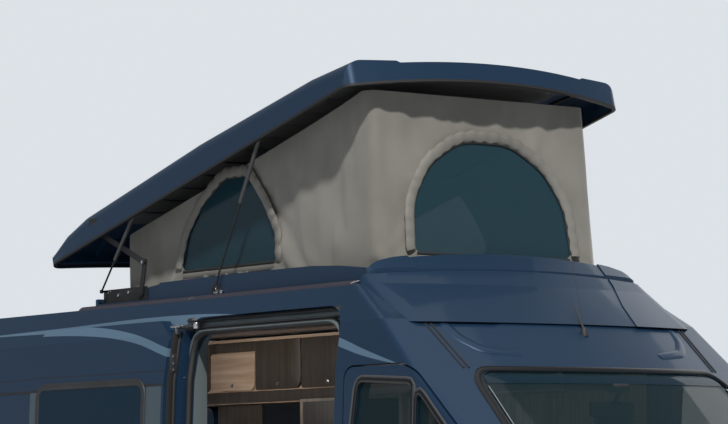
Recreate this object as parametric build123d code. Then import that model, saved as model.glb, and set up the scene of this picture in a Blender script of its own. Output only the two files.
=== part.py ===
from build123d import *
import math
import os

os.makedirs("parts", exist_ok=True)

# Lengths are in millimetres. +X is the front, +Y the left side, Z is up from the ground.
LENGTH = 5998
FRONT_OVERHANG = 948
WHEELBASE = 4035
TRACK_FRONT = 1810
TRACK_REAR = 1790
TYRE_R = 364
RIM_R = 206
SHUT_GAP = 8
SEAT_GAP = 0.3
RUN = 0.1

FRONT_X = LENGTH / 2
REAR_X = -LENGTH / 2
FRONT_AXLE = FRONT_X - FRONT_OVERHANG
REAR_AXLE = FRONT_AXLE - WHEELBASE

# Floor and underbody
FLOOR_TOP = 545
FLOOR_THICK = 40
SILL_BOTTOM = 350
SILL_IN = 900
FIREWALL_X = 2330
BAY_TOP = 1225
BAY_SKIN = 70
RAIL_Y = 430
RAIL_W = 70
RAIL_H = 110

# Wheel housings: radius, wall, inner ends
ARCH_IN = 440
ARCH_WALL = 15
ARCH_FRONT_Y = 545
ARCH_REAR_Y = 690

# Outer body by height: z, half width, nose set back, bow radius, corner radius, tail set in
BODY = (
    (300, 990, 48, 2400, 260, 50),
    (640, 1022, 0, 2400, 280, 40),
    (1040, 1025, 108, 2400, 200, 40),
    (1270, 1020, 478, 2400, 110, 40),
    (2020, 988, 1458, 3000, 60, 40),
    (2250, 952, 1734, 3000, 70, 50),
    (2425, 884, 2039, 3000, 80, 60),
)
# Inside of the cab and load space, the same columns
CABIN = (
    (FLOOR_TOP, 940, 798, 9000, 60, 120),
    (1180, 950, 748, 9000, 60, 120),
    (1290, 950, 598, 2400, 60, 120),
    (2020, 915, 1518, 3000, 50, 120),
    (2340, 855, 1990, 3000, 50, 120),
)
TAIL_CORNER = 60
BONNET_LOW = 1062
SCUTTLE_Z = 1270
CEILING = 2340
ROOF_EDGE = 2425
ROOF_HALF = 856
ROOF_CROWN = 40


def box(x0, x1, y0, y1, z0, z1):
    return Pos((x0 + x1) / 2, (y0 + y1) / 2, (z0 + z1) / 2) * Box(x1 - x0, y1 - y0, z1 - z0)


def cyl_y(x, z, radius, y0, y1):
    return Pos(x, (y0 + y1) / 2, z) * Rot(90, 0, 0) * Cylinder(radius, y1 - y0)


def cyl_x(y, z, radius, x0, x1):
    return Pos((x0 + x1) / 2, y, z) * Rot(0, 90, 0) * Cylinder(radius, x1 - x0)


def cyl_z(x, y, radius, z0, z1):
    return Pos(x, y, (z0 + z1) / 2) * Cylinder(radius, z1 - z0)


def rod(start, end, radius):
    a, b = Vector(*start), Vector(*end)
    return Plane(origin=(a + b) / 2, z_dir=b - a) * Cylinder(radius, (b - a).length)


def bar(a, b, width, y0, y1, bores, bore_r):
    """A flat bar with round ends between two points (x, z), with bores for its pins."""
    (ax, az), (bx, bz) = a, b
    length = math.hypot(bx - ax, bz - az)
    turn = math.degrees(math.atan2(bz - az, bx - ax))
    piece = Pos((ax + bx) / 2, (y0 + y1) / 2, (az + bz) / 2) * Rot(0, -turn, 0) * Box(length, y1 - y0, width)
    piece += cyl_y(ax, az, width / 2, y0, y1) + cyl_y(bx, bz, width / 2, y0, y1)
    for x, z in bores:
        piece -= cyl_y(x, z, bore_r + RUN, y0 - 1, y1 + 1)
    return piece


def prism(points, radii, axis, start, end, grow=0):
    """An outline across one axis, given by its corners and their radii, pushed along it."""
    place = {
        "x": lambda a, b: (start, a, b),
        "y": lambda a, b: (a, start, b),
        "z": lambda a, b: (a, b, start),
    }[axis]
    way = {"x": (1, 0, 0), "y": (0, 1, 0), "z": (0, 0, 1)}[axis]
    line = FilletPolyline(*[place(a, b) for a, b in points], radius=radii, close=True)
    face = make_face(line.edges()).face()
    if grow:
        face = offset(face, amount=grow).face()
    return extrude(face, amount=end - start, dir=way)


def both(piece):
    """The piece and its mirror image on the other side."""
    return Compound(children=[*solids_of(piece), *solids_of(mirror(piece, about=Plane.XZ))])


def solids_of(piece):
    return list(piece.solids())


def plan_face(z, half_width, set_back, bow, corner, tail_in, inset=0):
    """One level of the body, measured in from its two ends."""
    nose = FRONT_X - set_back - inset
    rear = REAR_X + tail_in + inset
    small = max(corner - inset, 20)
    return bowed_face(z, half_width - inset, nose, bow - inset, small, rear, max(TAIL_CORNER - inset, 15))


def bowed_face(z, w, nose, big, small, rear, tail):
    """A level outline with a bowed nose, rounded corners and a square tail."""
    centre = nose - big
    turn = centre + math.sqrt((big - small) ** 2 - (w - small) ** 2)
    start = math.atan2(w - small, turn - centre)
    tx, ty = centre + big * math.cos(start), big * math.sin(start)
    half = (start + math.pi / 2) / 2
    mx, my = turn + small * math.cos(half), w - small + small * math.sin(half)
    part = tail * (1 - math.sqrt(0.5))
    edges = [
        ThreePointArc((tx, -ty, z), (nose, 0, z), (tx, ty, z)),
        ThreePointArc((tx, ty, z), (mx, my, z), (turn, w, z)),
        Line((turn, w, z), (rear + tail, w, z)),
        ThreePointArc((rear + tail, w, z), (rear + part, w - part, z), (rear, w - tail, z)),
        Line((rear, w - tail, z), (rear, tail - w, z)),
        ThreePointArc((rear, tail - w, z), (rear + part, part - w, z), (rear + tail, -w, z)),
        Line((rear + tail, -w, z), (turn, -w, z)),
        ThreePointArc((turn, -w, z), (mx, -my, z), (tx, -ty, z)),
    ]
    return make_face([line.edge() for line in edges]).face()


def body_solid(inset=0, levels=BODY):
    return loft([plan_face(*level, inset=inset) for level in levels], ruled=True)


def skin(outside, inside):
    """A layer of the body between two depths below its surface."""
    return body_solid(outside) - body_solid(inside)


def arches(grow, front_y, rear_y):
    """The four wheel housings, larger by grow, from the given inner ends outwards."""
    left = [
        cyl_y(FRONT_AXLE, TYRE_R, ARCH_IN + grow, front_y, 1100),
        cyl_y(REAR_AXLE, TYRE_R, ARCH_IN - 20 + grow, rear_y, 1100),
    ]
    return [*left, *[mirror(a, about=Plane.XZ) for a in left]]


nodes = {}


def keep(name, piece):
    nodes[name] = piece


# The hollow body that all its panels are cut from
FAR = 4000
outer = body_solid()
cabin = body_solid(0, CABIN)
for housing in arches(ARCH_WALL, ARCH_FRONT_Y - ARCH_WALL, ARCH_REAR_Y - ARCH_WALL):
    cabin -= housing
bay = body_solid(BAY_SKIN, BODY[:4]) & box(FIREWALL_X, FAR, -1100, 1100, 200, BAY_TOP)
for housing in arches(ARCH_WALL, ARCH_FRONT_Y - ARCH_WALL, ARCH_REAR_Y - ARCH_WALL)[::2]:
    bay -= housing
shell = outer - cabin - bay
for housing in arches(0, ARCH_FRONT_Y, ARCH_REAR_Y):
    shell -= housing
shell -= box(-FAR, FIREWALL_X, -SILL_IN, SILL_IN, 200, FLOOR_TOP - FLOOR_THICK)
shell -= box(-FAR, 1500, -1100, 1100, 200, SILL_BOTTOM)
REAR_STEP_X = REAR_X + 70
BUMPER_TOP = 565
shell -= box(-FAR, REAR_STEP_X, -1100, 1100, 200, BUMPER_TOP)

# Outlines of what is let into the body, each with its corner radii
SLIDE_FRONT = 785
SLIDE_REAR = -540
SLIDE_TOP = 2330
SLIDE_LOW = 400
SLIDE_R = (60, 60, 130, 130)
SLIDE = ((SLIDE_FRONT, SLIDE_LOW), (SLIDE_REAR, SLIDE_LOW), (SLIDE_REAR, SLIDE_TOP), (SLIDE_FRONT, SLIDE_TOP))
SLIDE_BACK = 1337
SLIDE_OUT = 69
SLIDE_THICK = 55
SEAL_IN = 40
SEAL_TOP = 80
CAB_DOOR = ((850, 420), (850, 2045), (1340, 2045), (2120, 1400), (2160, 970), (1640, 790), (1600, 420))
CAB_DOOR_R = (50, 70, 260, 60, 60, 160, 60)
CAB_DOOR_Y = 780
CAB_WINDOW = ((925, 1240), (925, 1720), (962, 1972), (1365, 1950), (1365, 1240))
CAB_WINDOW_R = (45, 200, 45, 30, 30)
QUARTER = ((1400, 1275), (1400, 1927), (1985, 1400), (2000, 1275))
QUARTER_R = (30, 25, 60, 45)
REAR_WALL_X = REAR_X + 120
REAR_DOOR = ((0, 581), (925, 581), (930, 1250), (905, 2020), (832, 2336), (0, 2336))
REAR_DOOR_R = (4, 60, 300, 300, 90, 4)
REAR_WINDOW = ((150, 1330), (800, 1330), (770, 1960), (150, 1960))
REAR_WINDOW_R = 60
SCREEN = ((-850, 1318), (850, 1318), (730, 2003), (-730, 2003))
SCREEN_R = (90, 90, 110, 110)
BONNET = ((2300, -790), (2425, -790), (2760, -640), (3050, -600), (3050, 600), (2760, 640), (2425, 790), (2300, 790))
BONNET_R = (20, 60, 200, 20, 20, 200, 60, 20)
BONNET_BACK = 15
LAMP = ((640, 800), (900, 770), (1040, 860), (1040, 1165), (930, 1130), (690, 960))
LAMP_R = (50, 60, 40, 40, 60, 60)
GRILLE = ((-590, 760), (590, 760), (560, 1030), (-560, 1030))
GRILLE_R = (60, 60, 40, 40)
BUMPER_SPLIT = 720

# What is let into the body is cut out of it first; the panels are shared out afterwards


def screen_base(ahead):
    """All that lies behind the bowed line at the foot of the windscreen, or a little ahead of it."""
    z, half_width, set_back, bow, corner, _ = BODY[3]
    face = bowed_face(1000, half_width, FRONT_X - set_back + ahead, bow, corner, 0, 60)
    return extrude(face, amount=400, dir=(0, 0, 1))


bonnet_cut = prism(BONNET, BONNET_R, "z", BONNET_LOW - 4, SCUTTLE_Z) - screen_base(0)
bonnet = (shell & prism(BONNET, BONNET_R, "z", BONNET_LOW, SCUTTLE_Z, grow=-SHUT_GAP)) - screen_base(BONNET_BACK)
bonnet -= body_solid(12) & both(box(2300, 2600, 700, 800, 1000, 1300))
# Bonnet hinges: a pin across a slot in the scuttle on each side
BONNET_PIN = (2400, 1250)
BONNET_PIN_R = 6
goose = bar(BONNET_PIN, (BONNET_PIN[0] + 85, BONNET_PIN[1] - 18), 22, 604, 626, (BONNET_PIN,), BONNET_PIN_R)
keep("bonnet", bonnet + goose + mirror(goose, about=Plane.XZ))
slot = box(BONNET_PIN[0] - 22, BONNET_PIN[0] + 140, 598, 632, BAY_TOP - 5, SCUTTLE_Z + 25)
shell = shell - slot - mirror(slot, about=Plane.XZ)
screen_cut = prism(SCREEN, SCREEN_R, "x", 1200, 2800)
keep("windscreen", skin(8, 16) & prism(SCREEN, SCREEN_R, "x", 1200, 2800, grow=-SEAT_GAP))
floor_zone = box(-FAR, FIREWALL_X + 1, -SILL_IN, SILL_IN, 200, FLOOR_TOP)
cab_cut = prism(CAB_DOOR, CAB_DOOR_R, "y", CAB_DOOR_Y, 1100) - floor_zone
door_floor = box(-FAR, FIREWALL_X, -SILL_IN - SHUT_GAP, SILL_IN + SHUT_GAP, 200, FLOOR_TOP + SHUT_GAP)
door = (shell - door_floor) & prism(CAB_DOOR, CAB_DOOR_R, "y", CAB_DOOR_Y, 1100, grow=-SHUT_GAP)
window_cuts = [
    prism(CAB_WINDOW, CAB_WINDOW_R, "y", CAB_DOOR_Y, 1100),
    prism(QUARTER, QUARTER_R, "y", CAB_DOOR_Y, 1100),
]
for cut in window_cuts:
    door -= cut
glass_skin = skin(10, 15)
panes = Compound(children=[
    s for outline, radii in ((CAB_WINDOW, CAB_WINDOW_R), (QUARTER, QUARTER_R))
    for s in solids_of(glass_skin & prism(outline, radii, "y", CAB_DOOR_Y, 1100, grow=-SEAT_GAP))
])
# Cab door hinges: a knuckle on the door turns on a pin across a notch in the wing
CAB_PIN = (2175, 1010)
CAB_PIN_R = 5
CAB_HINGES = (1020, 1200)
notches = []
cab_pins = []
for z in CAB_HINGES:
    knuckle = cyl_z(*CAB_PIN, 11, z - 22, z + 22) + box(2120, CAB_PIN[0], 1004, 1016, z - 22, z + 22)
    door += knuckle - cyl_z(*CAB_PIN, CAB_PIN_R + RUN, z - 23, z + 23)
    notches.append(box(2110, 2194, 985, 1100, z - 27, z + 27))
    cab_pins.append(cyl_z(*CAB_PIN, CAB_PIN_R, z - 30, z + 30))
keep("cab_door_left", door)
keep("cab_door_right", mirror(door, about=Plane.XZ))
keep("cab_window_left", panes)
keep("cab_window_right", mirror(panes, about=Plane.XZ))
rear_cut = prism(REAR_DOOR, (0, *REAR_DOOR_R[1:-1], 0), "x", REAR_X - 50, REAR_WALL_X + 1)
rear_door = shell & prism(REAR_DOOR, REAR_DOOR_R, "x", REAR_X - 50, REAR_WALL_X + 1, grow=-SHUT_GAP)
rear_door -= prism(REAR_WINDOW, REAR_WINDOW_R, "x", REAR_X - 50, -2700)
rear_pane = glass_skin & prism(REAR_WINDOW, REAR_WINDOW_R, "x", REAR_X - 50, -2700, grow=-SEAT_GAP)
# Rear door hinges: a leaf on the door turns on a pin held by two ears of the body
HINGE_X = REAR_X + 24
HINGE_Y = 945
REAR_HINGES = (800, 1500, 2080)
ears = []
for z in REAR_HINGES:
    leaf = box(HINGE_X - 6, HINGE_X + 20, 850, 872, z - 20, z + 20) + box(HINGE_X - 6, HINGE_X + 6, 865, HINGE_Y, z - 20, z + 20)
    leaf += cyl_z(HINGE_X, HINGE_Y, 10, z - 20, z + 20)
    rear_door += leaf - cyl_z(HINGE_X, HINGE_Y, 5 + RUN, z - 21, z + 21)
    for low in (z - 34, z + 22):
        ears.append(cyl_z(HINGE_X, HINGE_Y, 9, low, low + 12) + box(HINGE_X - 6, HINGE_X + 35, HINGE_Y, 985, low, low + 12))
    ears.append(cyl_z(HINGE_X, HINGE_Y, 5, z - 30, z + 30))
TAIL_LAMP = ((948, 930), (1100, 930), (1100, 1420), (948, 1420))
TAIL_LAMP_DEEP = 45
tail_cut = prism(TAIL_LAMP, 12, "x", REAR_X - 50, REAR_WALL_X - 1) - body_solid(TAIL_LAMP_DEEP + SEAT_GAP)
tail_lamp = skin(0, TAIL_LAMP_DEEP) & prism(TAIL_LAMP, 12, "x", REAR_X - 50, REAR_WALL_X - 1, grow=-SEAT_GAP)
keep("tail_lamps", both(tail_lamp))
keep("rear_door_left", rear_door)
keep("rear_door_right", mirror(rear_door, about=Plane.XZ))
keep("rear_window_left", rear_pane)
keep("rear_window_right", mirror(rear_pane, about=Plane.XZ))

# Sliding door, slid back along the side and out from it
slide_outline = prism(SLIDE, SLIDE_R, "y", -1100, -700)
sliding = skin(0, SLIDE_THICK) & prism(SLIDE, SLIDE_R, "y", -1100, -700, grow=-SHUT_GAP)
SLIDE_WINDOW = ((-430, 1450), (585, 1450), (585, 2010), (-430, 2010))
SLIDE_WINDOW_R = 60
sliding -= prism(SLIDE_WINDOW, SLIDE_WINDOW_R, "y", -1100, -700)
slide_pane = skin(-4, 12) & prism(SLIDE_WINDOW, SLIDE_WINDOW_R, "y", -1100, -700, grow=-SEAT_GAP)
slid = Pos(-SLIDE_BACK, -SLIDE_OUT, 0)
# Middle rail let into the rear quarter, and the door's roller arm in it
RAIL_FRONT = -700
RAIL_REAR = -2050
RAIL_Z = 1190
RAIL_TALL = 44
RAIL_DEEP = 985
rail = box(RAIL_REAR, RAIL_FRONT, -1100, -RAIL_DEEP, RAIL_Z - RAIL_TALL / 2, RAIL_Z + RAIL_TALL / 2)
arm_x = SLIDE_REAR - SLIDE_BACK + 75
arm = box(arm_x - 45, arm_x + 45, -1070, -RAIL_DEEP - SEAT_GAP, RAIL_Z - 16, RAIL_Z + 16)
keep("sliding_door", slid * sliding + arm)
keep("sliding_door_window", slid * slide_pane)
clear = (
    (SLIDE_FRONT - SEAL_IN, SLIDE_LOW + 150),
    (SLIDE_REAR + SEAL_IN, SLIDE_LOW + 150),
    (SLIDE_REAR + SEAL_IN, SLIDE_TOP - SEAL_TOP),
    (SLIDE_FRONT - SEAL_IN, SLIDE_TOP - SEAL_TOP),
)
doorway = prism(clear, (40, 40, 110, 110), "y", -1100, -700)
rebate = slide_outline - body_solid(SLIDE_THICK + 5)

# Body panels
shell = shell - cab_cut - mirror(cab_cut, about=Plane.XZ) - rear_cut - mirror(rear_cut, about=Plane.XZ) - bonnet_cut
roof_zone = box(REAR_X - 10, 1400, -ROOF_HALF, ROOF_HALF, CEILING, 3000)
roof = shell & roof_zone
crown_mid = ROOF_EDGE + ROOF_CROWN
CAP_REAR = 801
CROWN_FRONT = CAP_REAR - 6
crown_face = make_face([
    ThreePointArc((0, -ROOF_HALF, ROOF_EDGE), (0, 0, crown_mid), (0, ROOF_HALF, ROOF_EDGE)).edge(),
    Line((0, ROOF_HALF, ROOF_EDGE), (0, -ROOF_HALF, ROOF_EDGE)).edge(),
]).face()
crown = Pos(REAR_X + 60, 0, 0) * extrude(crown_face, amount=CROWN_FRONT - REAR_X - 60, dir=(1, 0, 0))
HATCH = ((650, -480), (650, 480), (-900, 480), (-900, -480))
hatch = prism(HATCH, 80, "z", CEILING - 50, 2600)
keep("roof_panel", roof + crown - hatch)
shell -= roof_zone

front_zone = prism(((-870, SCUTTLE_Z), (870, SCUTTLE_Z), (745, CEILING), (-745, CEILING)), 1, "x", 1150, 2700)
for cut in (*notches, tail_cut):
    shell = shell - cut - mirror(cut, about=Plane.XZ)
SIDE_WINDOW = ((-200, 1450), (760, 1450), (760, 1990), (-200, 1990))
shell -= prism(SIDE_WINDOW, 60, "y", 700, 1100)
keep("side_window_left", skin(-4, 12) & prism(SIDE_WINDOW, 60, "y", 700, 1100, grow=-SEAT_GAP))
keep("windscreen_frame", (shell & front_zone) - screen_cut)
shell -= front_zone

bumper_zone = box(2440, FAR, -1100, 1100, 200, BUMPER_SPLIT)
bumper = shell & bumper_zone
for low in (415, 465, 515):
    bumper -= box(2600, FAR, -480, 480, low, low + 36)
FOG_LAMP = (760, 470)
fog = cyl_x(*FOG_LAMP, 52, 2500, FAR) - body_solid(25)
keep("front_bumper", bumper - fog - mirror(fog, about=Plane.XZ))
shell -= bumper_zone
grille_cut = prism(GRILLE, GRILLE_R, "x", 2600, FAR)
lamp_cut = prism(LAMP, LAMP_R, "x", 2380, FAR)
grille = skin(6, 40) & prism(GRILLE, GRILLE_R, "x", 2600, FAR, grow=-SEAT_GAP)
GRILLE_SLOTS = 5
for i in range(GRILLE_SLOTS):
    low = GRILLE[0][1] + 30 + 46 * i
    for y0, y1 in ((-525, -10), (10, 525)):
        grille -= box(2600, FAR, y0, y1, low, low + 28)
keep("grille", grille)
lamp = skin(0, 60) & prism(LAMP, LAMP_R, "x", 2380, FAR, grow=-SEAT_GAP)
keep("headlamps", both(lamp))
shell = shell - grille_cut - lamp_cut - mirror(lamp_cut, about=Plane.XZ)

floor_zones = (
    floor_zone,
    box(-FAR, -2700, -SILL_IN, SILL_IN, FLOOR_TOP, 600),
    box(2100, FIREWALL_X + 20, -530, 530, FLOOR_TOP, 1160),
    box(2000, 2410, -790, 790, 1160, SCUTTLE_Z),
)
floor = shell & floor_zones[0]
for zone in floor_zones[1:]:
    floor += shell & zone
pin = cyl_y(*BONNET_PIN, BONNET_PIN_R, 590, 640)
floor += pin + mirror(pin, about=Plane.XZ)
keep("floor_pan", floor)
for zone in floor_zones:
    shell -= zone
NOSE_SPLIT = 2150
nose_zone = box(NOSE_SPLIT, FAR, -1100, 1100, 200, SCUTTLE_Z)
wings = shell & nose_zone
for piece in cab_pins:
    wings += piece + mirror(piece, about=Plane.XZ)
keep("front_wings", wings)
shell -= nose_zone
left_panel = shell & box(-FAR, FAR, 0, 1100, 0, 3000)
right_panel = (shell & box(-FAR, FAR, -1100, 0, 0, 3000)) - doorway - rebate - rail
for piece in ears:
    left_panel += piece
    right_panel += mirror(piece, about=Plane.XZ)
keep("side_panel_left", left_panel)
keep("side_panel_right", right_panel)

# Pop-up roof shell, drawn shut and level, then turned up about the pole at the rear
POLE = (-2953, 0, 2294)
OPEN_DEG = 14.0
RIM_Z = 2456
SHELL_HALF = 845
SHELL_NOSE = 962
SHELL_TAIL = -1985
SHELL_WALL = 12
SHOULDER = 78
# Cross-sections of the shell: x, height above its rim
SHELL_ROWS = ((1030, 98), (835, 118), (518, 148), (-464, 172), (-1591, 158), (-1794, 128), (-1921, 70), (-1990, 34))
HUMP_IN = 575


def hat_face(x, height, wall):
    """The shell's section: upright sides, round shoulders, two ribs and a low crown."""
    half = SHELL_HALF - wall
    top = RIM_Z + height - wall
    rise = min(SHOULDER, 0.8 * (top - RIM_Z))
    side = half - 10
    base = RIM_Z - (5 if wall else 0)
    round_part = rise * (1 - math.sqrt(0.5))
    dip = min(9, 0.2 * (top - RIM_Z))
    right = [
        Line((x, half, base), (x, side, top - rise)),
        ThreePointArc((x, side, top - rise), (x, side - round_part, top - round_part), (x, side - rise, top)),
        Line((x, side - rise, top), (x, HUMP_IN, top)),
        Line((x, HUMP_IN, top), (x, HUMP_IN - 20, top - dip)),
    ]
    left = [
        Line((x, 20 - HUMP_IN, top - dip), (x, -HUMP_IN, top)),
        Line((x, -HUMP_IN, top), (x, rise - side, top)),
        ThreePointArc((x, rise - side, top), (x, round_part - side, top - round_part), (x, -side, top - rise)),
        Line((x, -side, top - rise), (x, -half, base)),
    ]
    crown_line = ThreePointArc((x, HUMP_IN - 20, top - dip), (x, 0, top + dip), (x, 20 - HUMP_IN, top - dip))
    close = Line((x, -half, base), (x, half, base))
    return make_face([line.edge() for line in (*right, crown_line, *left, close)]).face()


def raised(piece, degrees=OPEN_DEG):
    x, y, z = POLE
    return Pos(x, y, z) * Rot(0, -degrees, 0) * Pos(-x, -y, -z) * piece


def shell_outline(inset, low, high):
    face = bowed_face(low, SHELL_HALF - inset, SHELL_NOSE - inset, 3100 - inset, 70 - inset, SHELL_TAIL + inset, 90 - inset)
    return extrude(face, amount=high - low, dir=(0, 0, 1))


roof_shell = loft([hat_face(x, h, 0) for x, h in SHELL_ROWS], ruled=True)
roof_shell &= shell_outline(0, RIM_Z - 10, RIM_Z + 300)
roof_shell -= loft([hat_face(x, h, SHELL_WALL) for x, h in SHELL_ROWS[:-1]], ruled=True) & shell_outline(
    SHELL_WALL, RIM_Z - 10, RIM_Z + 300
)
SEAL_DEEP = 12
SEAL_WIDE = 18
ARCH_RISE = 28
ARCH_HALF = 800


def under_arch(z):
    """All below the shell's rim, whose ends arch over the cap and over the crowned roof."""
    x = SHELL_TAIL - 50
    arc = ThreePointArc((x, -ARCH_HALF, z), (x, 0, z + ARCH_RISE), (x, ARCH_HALF, z)).edge()
    face = make_face([arc, Line((x, ARCH_HALF, z), (x, -ARCH_HALF, z)).edge()]).face()
    return extrude(face, amount=3200, dir=(1, 0, 0)) + box(-FAR, FAR, -1000, 1000, z - 200, z)


roof_shell = raised(roof_shell - under_arch(RIM_Z))
keep("roof_shell", roof_shell)
lip = shell_outline(0, RIM_Z - 50, RIM_Z + 50) - shell_outline(SEAL_WIDE, RIM_Z - 51, RIM_Z + 51)
seal = raised(lip & (under_arch(RIM_Z) - under_arch(RIM_Z - SEAL_DEEP)))

# Cap over the front of the fixed roof, and the tray that the pop-up roof shuts on
CAP_TOP = 2588
CAP_EDGE = 2500
CAP_BAND = 8
CAP_ROWS = ((2236, 868, 1297, 3000), (2425, 850, 1040, 2600), (2620, 788, CAP_REAR + 2, 2600))
CAP_BAND_PLAN = ((780, 590), (950, 560), (1120, 470), (1340, 400), (1340, 1000), (780, 1000))


def cap_block(grow):
    """The cap before it is hollowed, with its surface moved out by grow."""
    block = loft([bowed_face(z, w + grow, x + grow, bow, 120, 300, 30) for z, w, x, bow in CAP_ROWS], ruled=True)
    arc = ThreePointArc((0, -1000, CAP_EDGE + grow), (0, 0, CAP_TOP + grow), (0, 1000, CAP_EDGE + grow)).edge()
    ends = Polyline((0, 1000, CAP_EDGE + grow), (0, 1000, 2000), (0, -1000, 2000), (0, -1000, CAP_EDGE + grow)).edges()
    return block & extrude(make_face([arc, *ends]).face(), amount=FRONT_X, dir=(1, 0, 0))


bands = prism(CAP_BAND_PLAN, (1, 200, 200, 1, 1, 1), "z", 2100, 2700)
cap = cap_block(0) + (cap_block(CAP_BAND) & (bands + mirror(bands, about=Plane.XZ)))
cap -= body_solid(-SEAT_GAP) + box(-FAR, CAP_REAR, -1100, 1100, 2000, 3000)
cap_inner = loft([bowed_face(z, w - 25, x - 35, bow, 95, 300, 20) for z, w, x, bow in CAP_ROWS], ruled=True)
cap -= cap_inner & box(-FAR, FAR, -1100, 1100, 2438, CAP_EDGE)
# Seat in the cap for the shell's rim, which rests half a degree above level when shut
REST_DEG = 0.5
RIM_FREE = 6
seat = shell_outline(-RIM_FREE, RIM_Z - 50, RIM_Z + 200) - shell_outline(SEAL_WIDE + RIM_FREE, RIM_Z - 51, RIM_Z + 201)
cap -= raised(seat - under_arch(RIM_Z - SEAL_DEEP - RIM_FREE), REST_DEG)
keep("roof_cap", max(cap.solids(), key=lambda s: s.volume))
TRAY_OUT = 797
TRAY_IN = 742
TRAY_FRONT = 785
TRAY_REAR = -1629
TRAY = ((785, 2420), (785, 2503), (559, 2527), (337, 2539), (-267, 2543), (-1043, 2537), (-1629, 2483), (-1629, 2420))
RECESS_Y = 757
tray = prism(TRAY, 4, "y", -TRAY_OUT, TRAY_OUT) - crown - outer
TRAY_LEDGE = 2478
tray -= box(TRAY_REAR + 70, TRAY_FRONT - 30, -TRAY_IN, TRAY_IN, TRAY_LEDGE, 2700)
tray -= box(TRAY_REAR + 100, TRAY_FRONT - 65, -640, 640, 2300, 2700)
for side in (1, -1):
    y0, y1 = sorted((side * RECESS_Y, side * 900))
    tray -= box(-1605, -1005, y0, y1, 2458, 2700)
keep("roof_tray", tray)

# Lever gear and gas struts of the pop-up roof, in the plane (x, z)
LINK_BASE = (-1220, 2494)
LINK_TOP = (-1181, 2657)
ARM_END = (-1615, 2839)
REAR_STRUT = ((-1546, 2522), (-1218, 2909))
MID_STRUT = ((-479, 2470), (-66, 3200))
PIN_R = 8
STRUT_Y = 811


plate = box(-1600, -1180, RECESS_Y, 765, 2459, 2532)
EYE_Y = STRUT_Y - 6
plate += cyl_y(*LINK_BASE, PIN_R, 765, 777.5) + cyl_y(*REAR_STRUT[0], 5, 765, EYE_Y - SEAT_GAP)
foot = box(MID_STRUT[0][0] - 40, MID_STRUT[0][0] + 40, TRAY_OUT, 800, 2445, 2500)
foot += cyl_y(*MID_STRUT[0], 5, 800, EYE_Y - SEAT_GAP)
keep("tray_brackets", both(plate + foot))
keep("roof_links", both(bar(LINK_BASE, LINK_TOP, 34, 768, 776, (LINK_BASE,), PIN_R) + cyl_y(*LINK_TOP, PIN_R, 776, 789)))
arm = bar(LINK_TOP, ARM_END, 30, 779, 787, (LINK_TOP,), PIN_R)
keep("roof_arms", both(arm + cyl_y(*ARM_END, PIN_R, 787, 790 - SEAT_GAP)))
ARM_SEAT = (ARM_END[0] + 20, ARM_END[1] + 44)
bracket = bar(ARM_END, ARM_SEAT, 18, 790, 796, (), PIN_R) + cyl_y(*ARM_SEAT, 8, 790, 826)
bracket += box(ARM_SEAT[0] - 40, ARM_SEAT[0] + 40, 823, 835, ARM_SEAT[1] - 12, ARM_SEAT[1] + 25)
for x, z in (REAR_STRUT[1], MID_STRUT[1]):
    bracket += cyl_y(x, z, 5, STRUT_Y - 7, 824)
    bracket += box(x - 30, x + 30, 822, 832, z - 8, z + 20)
bracket -= roof_shell + seal
keep("shell_frame", Compound(children=[*solids_of(seal), *solids_of(both(bracket))]))


def strut(base, top, barrel, rod_length):
    """The barrel hangs from the shell; its rod runs down to an eye on the base pin."""
    low = Vector(base[0], STRUT_Y, base[1])
    high = Vector(top[0], STRUT_Y, top[1])
    way = (high - low).normalized()
    bottom = high - way * barrel
    tube = rod(bottom, high - way * 7, 10) - rod(bottom - way, high - way * 26, 5.6)
    tube += cyl_y(*top, 11, STRUT_Y - 5, STRUT_Y + 5)
    tube -= cyl_y(*top, 5 + RUN, STRUT_Y - 7, STRUT_Y + 7)
    stem = rod(low + way * 8, low + way * rod_length, 5)
    stem += cyl_y(*base, 10, EYE_Y, STRUT_Y + 6)
    return both(tube), both(stem)


tubes, stems = strut(*MID_STRUT, 360, 505)
keep("mid_strut_barrels", tubes)
keep("mid_strut_rods", stems)
tubes, stems = strut(*REAR_STRUT, 300, 330)
keep("rear_strut_barrels", tubes)
keep("rear_strut_rods", stems)

# Tent between tray and shell
TENT_HALF = 660
TENT_BASE = TRAY_LEDGE + SEAT_GAP
TENT_FRONT = 745
TENT_REAR = -1540
TENT_WALL = 8
rise = math.tan(math.radians(OPEN_DEG))
TENT_TOP = 3375 + 20 - 18


def rim_height(x):
    return TENT_TOP - (714 - x) * rise


tent_side = ((TENT_FRONT, TENT_BASE), (640, rim_height(640)), (TENT_REAR, rim_height(TENT_REAR)), (TENT_REAR, TENT_BASE))
tent_in = (
    (TENT_FRONT - TENT_WALL, TENT_BASE - 9),
    (640 - TENT_WALL, rim_height(640) + 50),
    (TENT_REAR + TENT_WALL, rim_height(TENT_REAR) + 50),
    (TENT_REAR + TENT_WALL, TENT_BASE - 9),
)
tent = prism(tent_side, 1, "y", -TENT_HALF, TENT_HALF)
tent -= prism(tent_in, 1, "y", TENT_WALL - TENT_HALF, TENT_HALF - TENT_WALL)
SIDE_ARCH = (
    (-150, 2600), (-1010, 2600), (-935, 2790), (-800, 2930), (-600, 3045), (-400, 3045), (-250, 2890), (-150, 2745),
)
SIDE_ARCH_R = (40, 40, 150, 200, 150, 80, 200, 100)
FRONT_ARCH = (
    (-485, 2590), (485, 2590), (465, 2840), (350, 3020), (150, 3140), (-150, 3140), (-350, 3020), (-465, 2840),
)
FRONT_ARCH_R = (40, 40, 300, 300, 300, 300, 300, 300)
side_arch = prism(SIDE_ARCH, SIDE_ARCH_R, "y", -900, 900)
front_arch = prism(FRONT_ARCH, FRONT_ARCH_R, "x", 500, 900)
keep("tent_fabric", tent - side_arch - front_arch)
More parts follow.
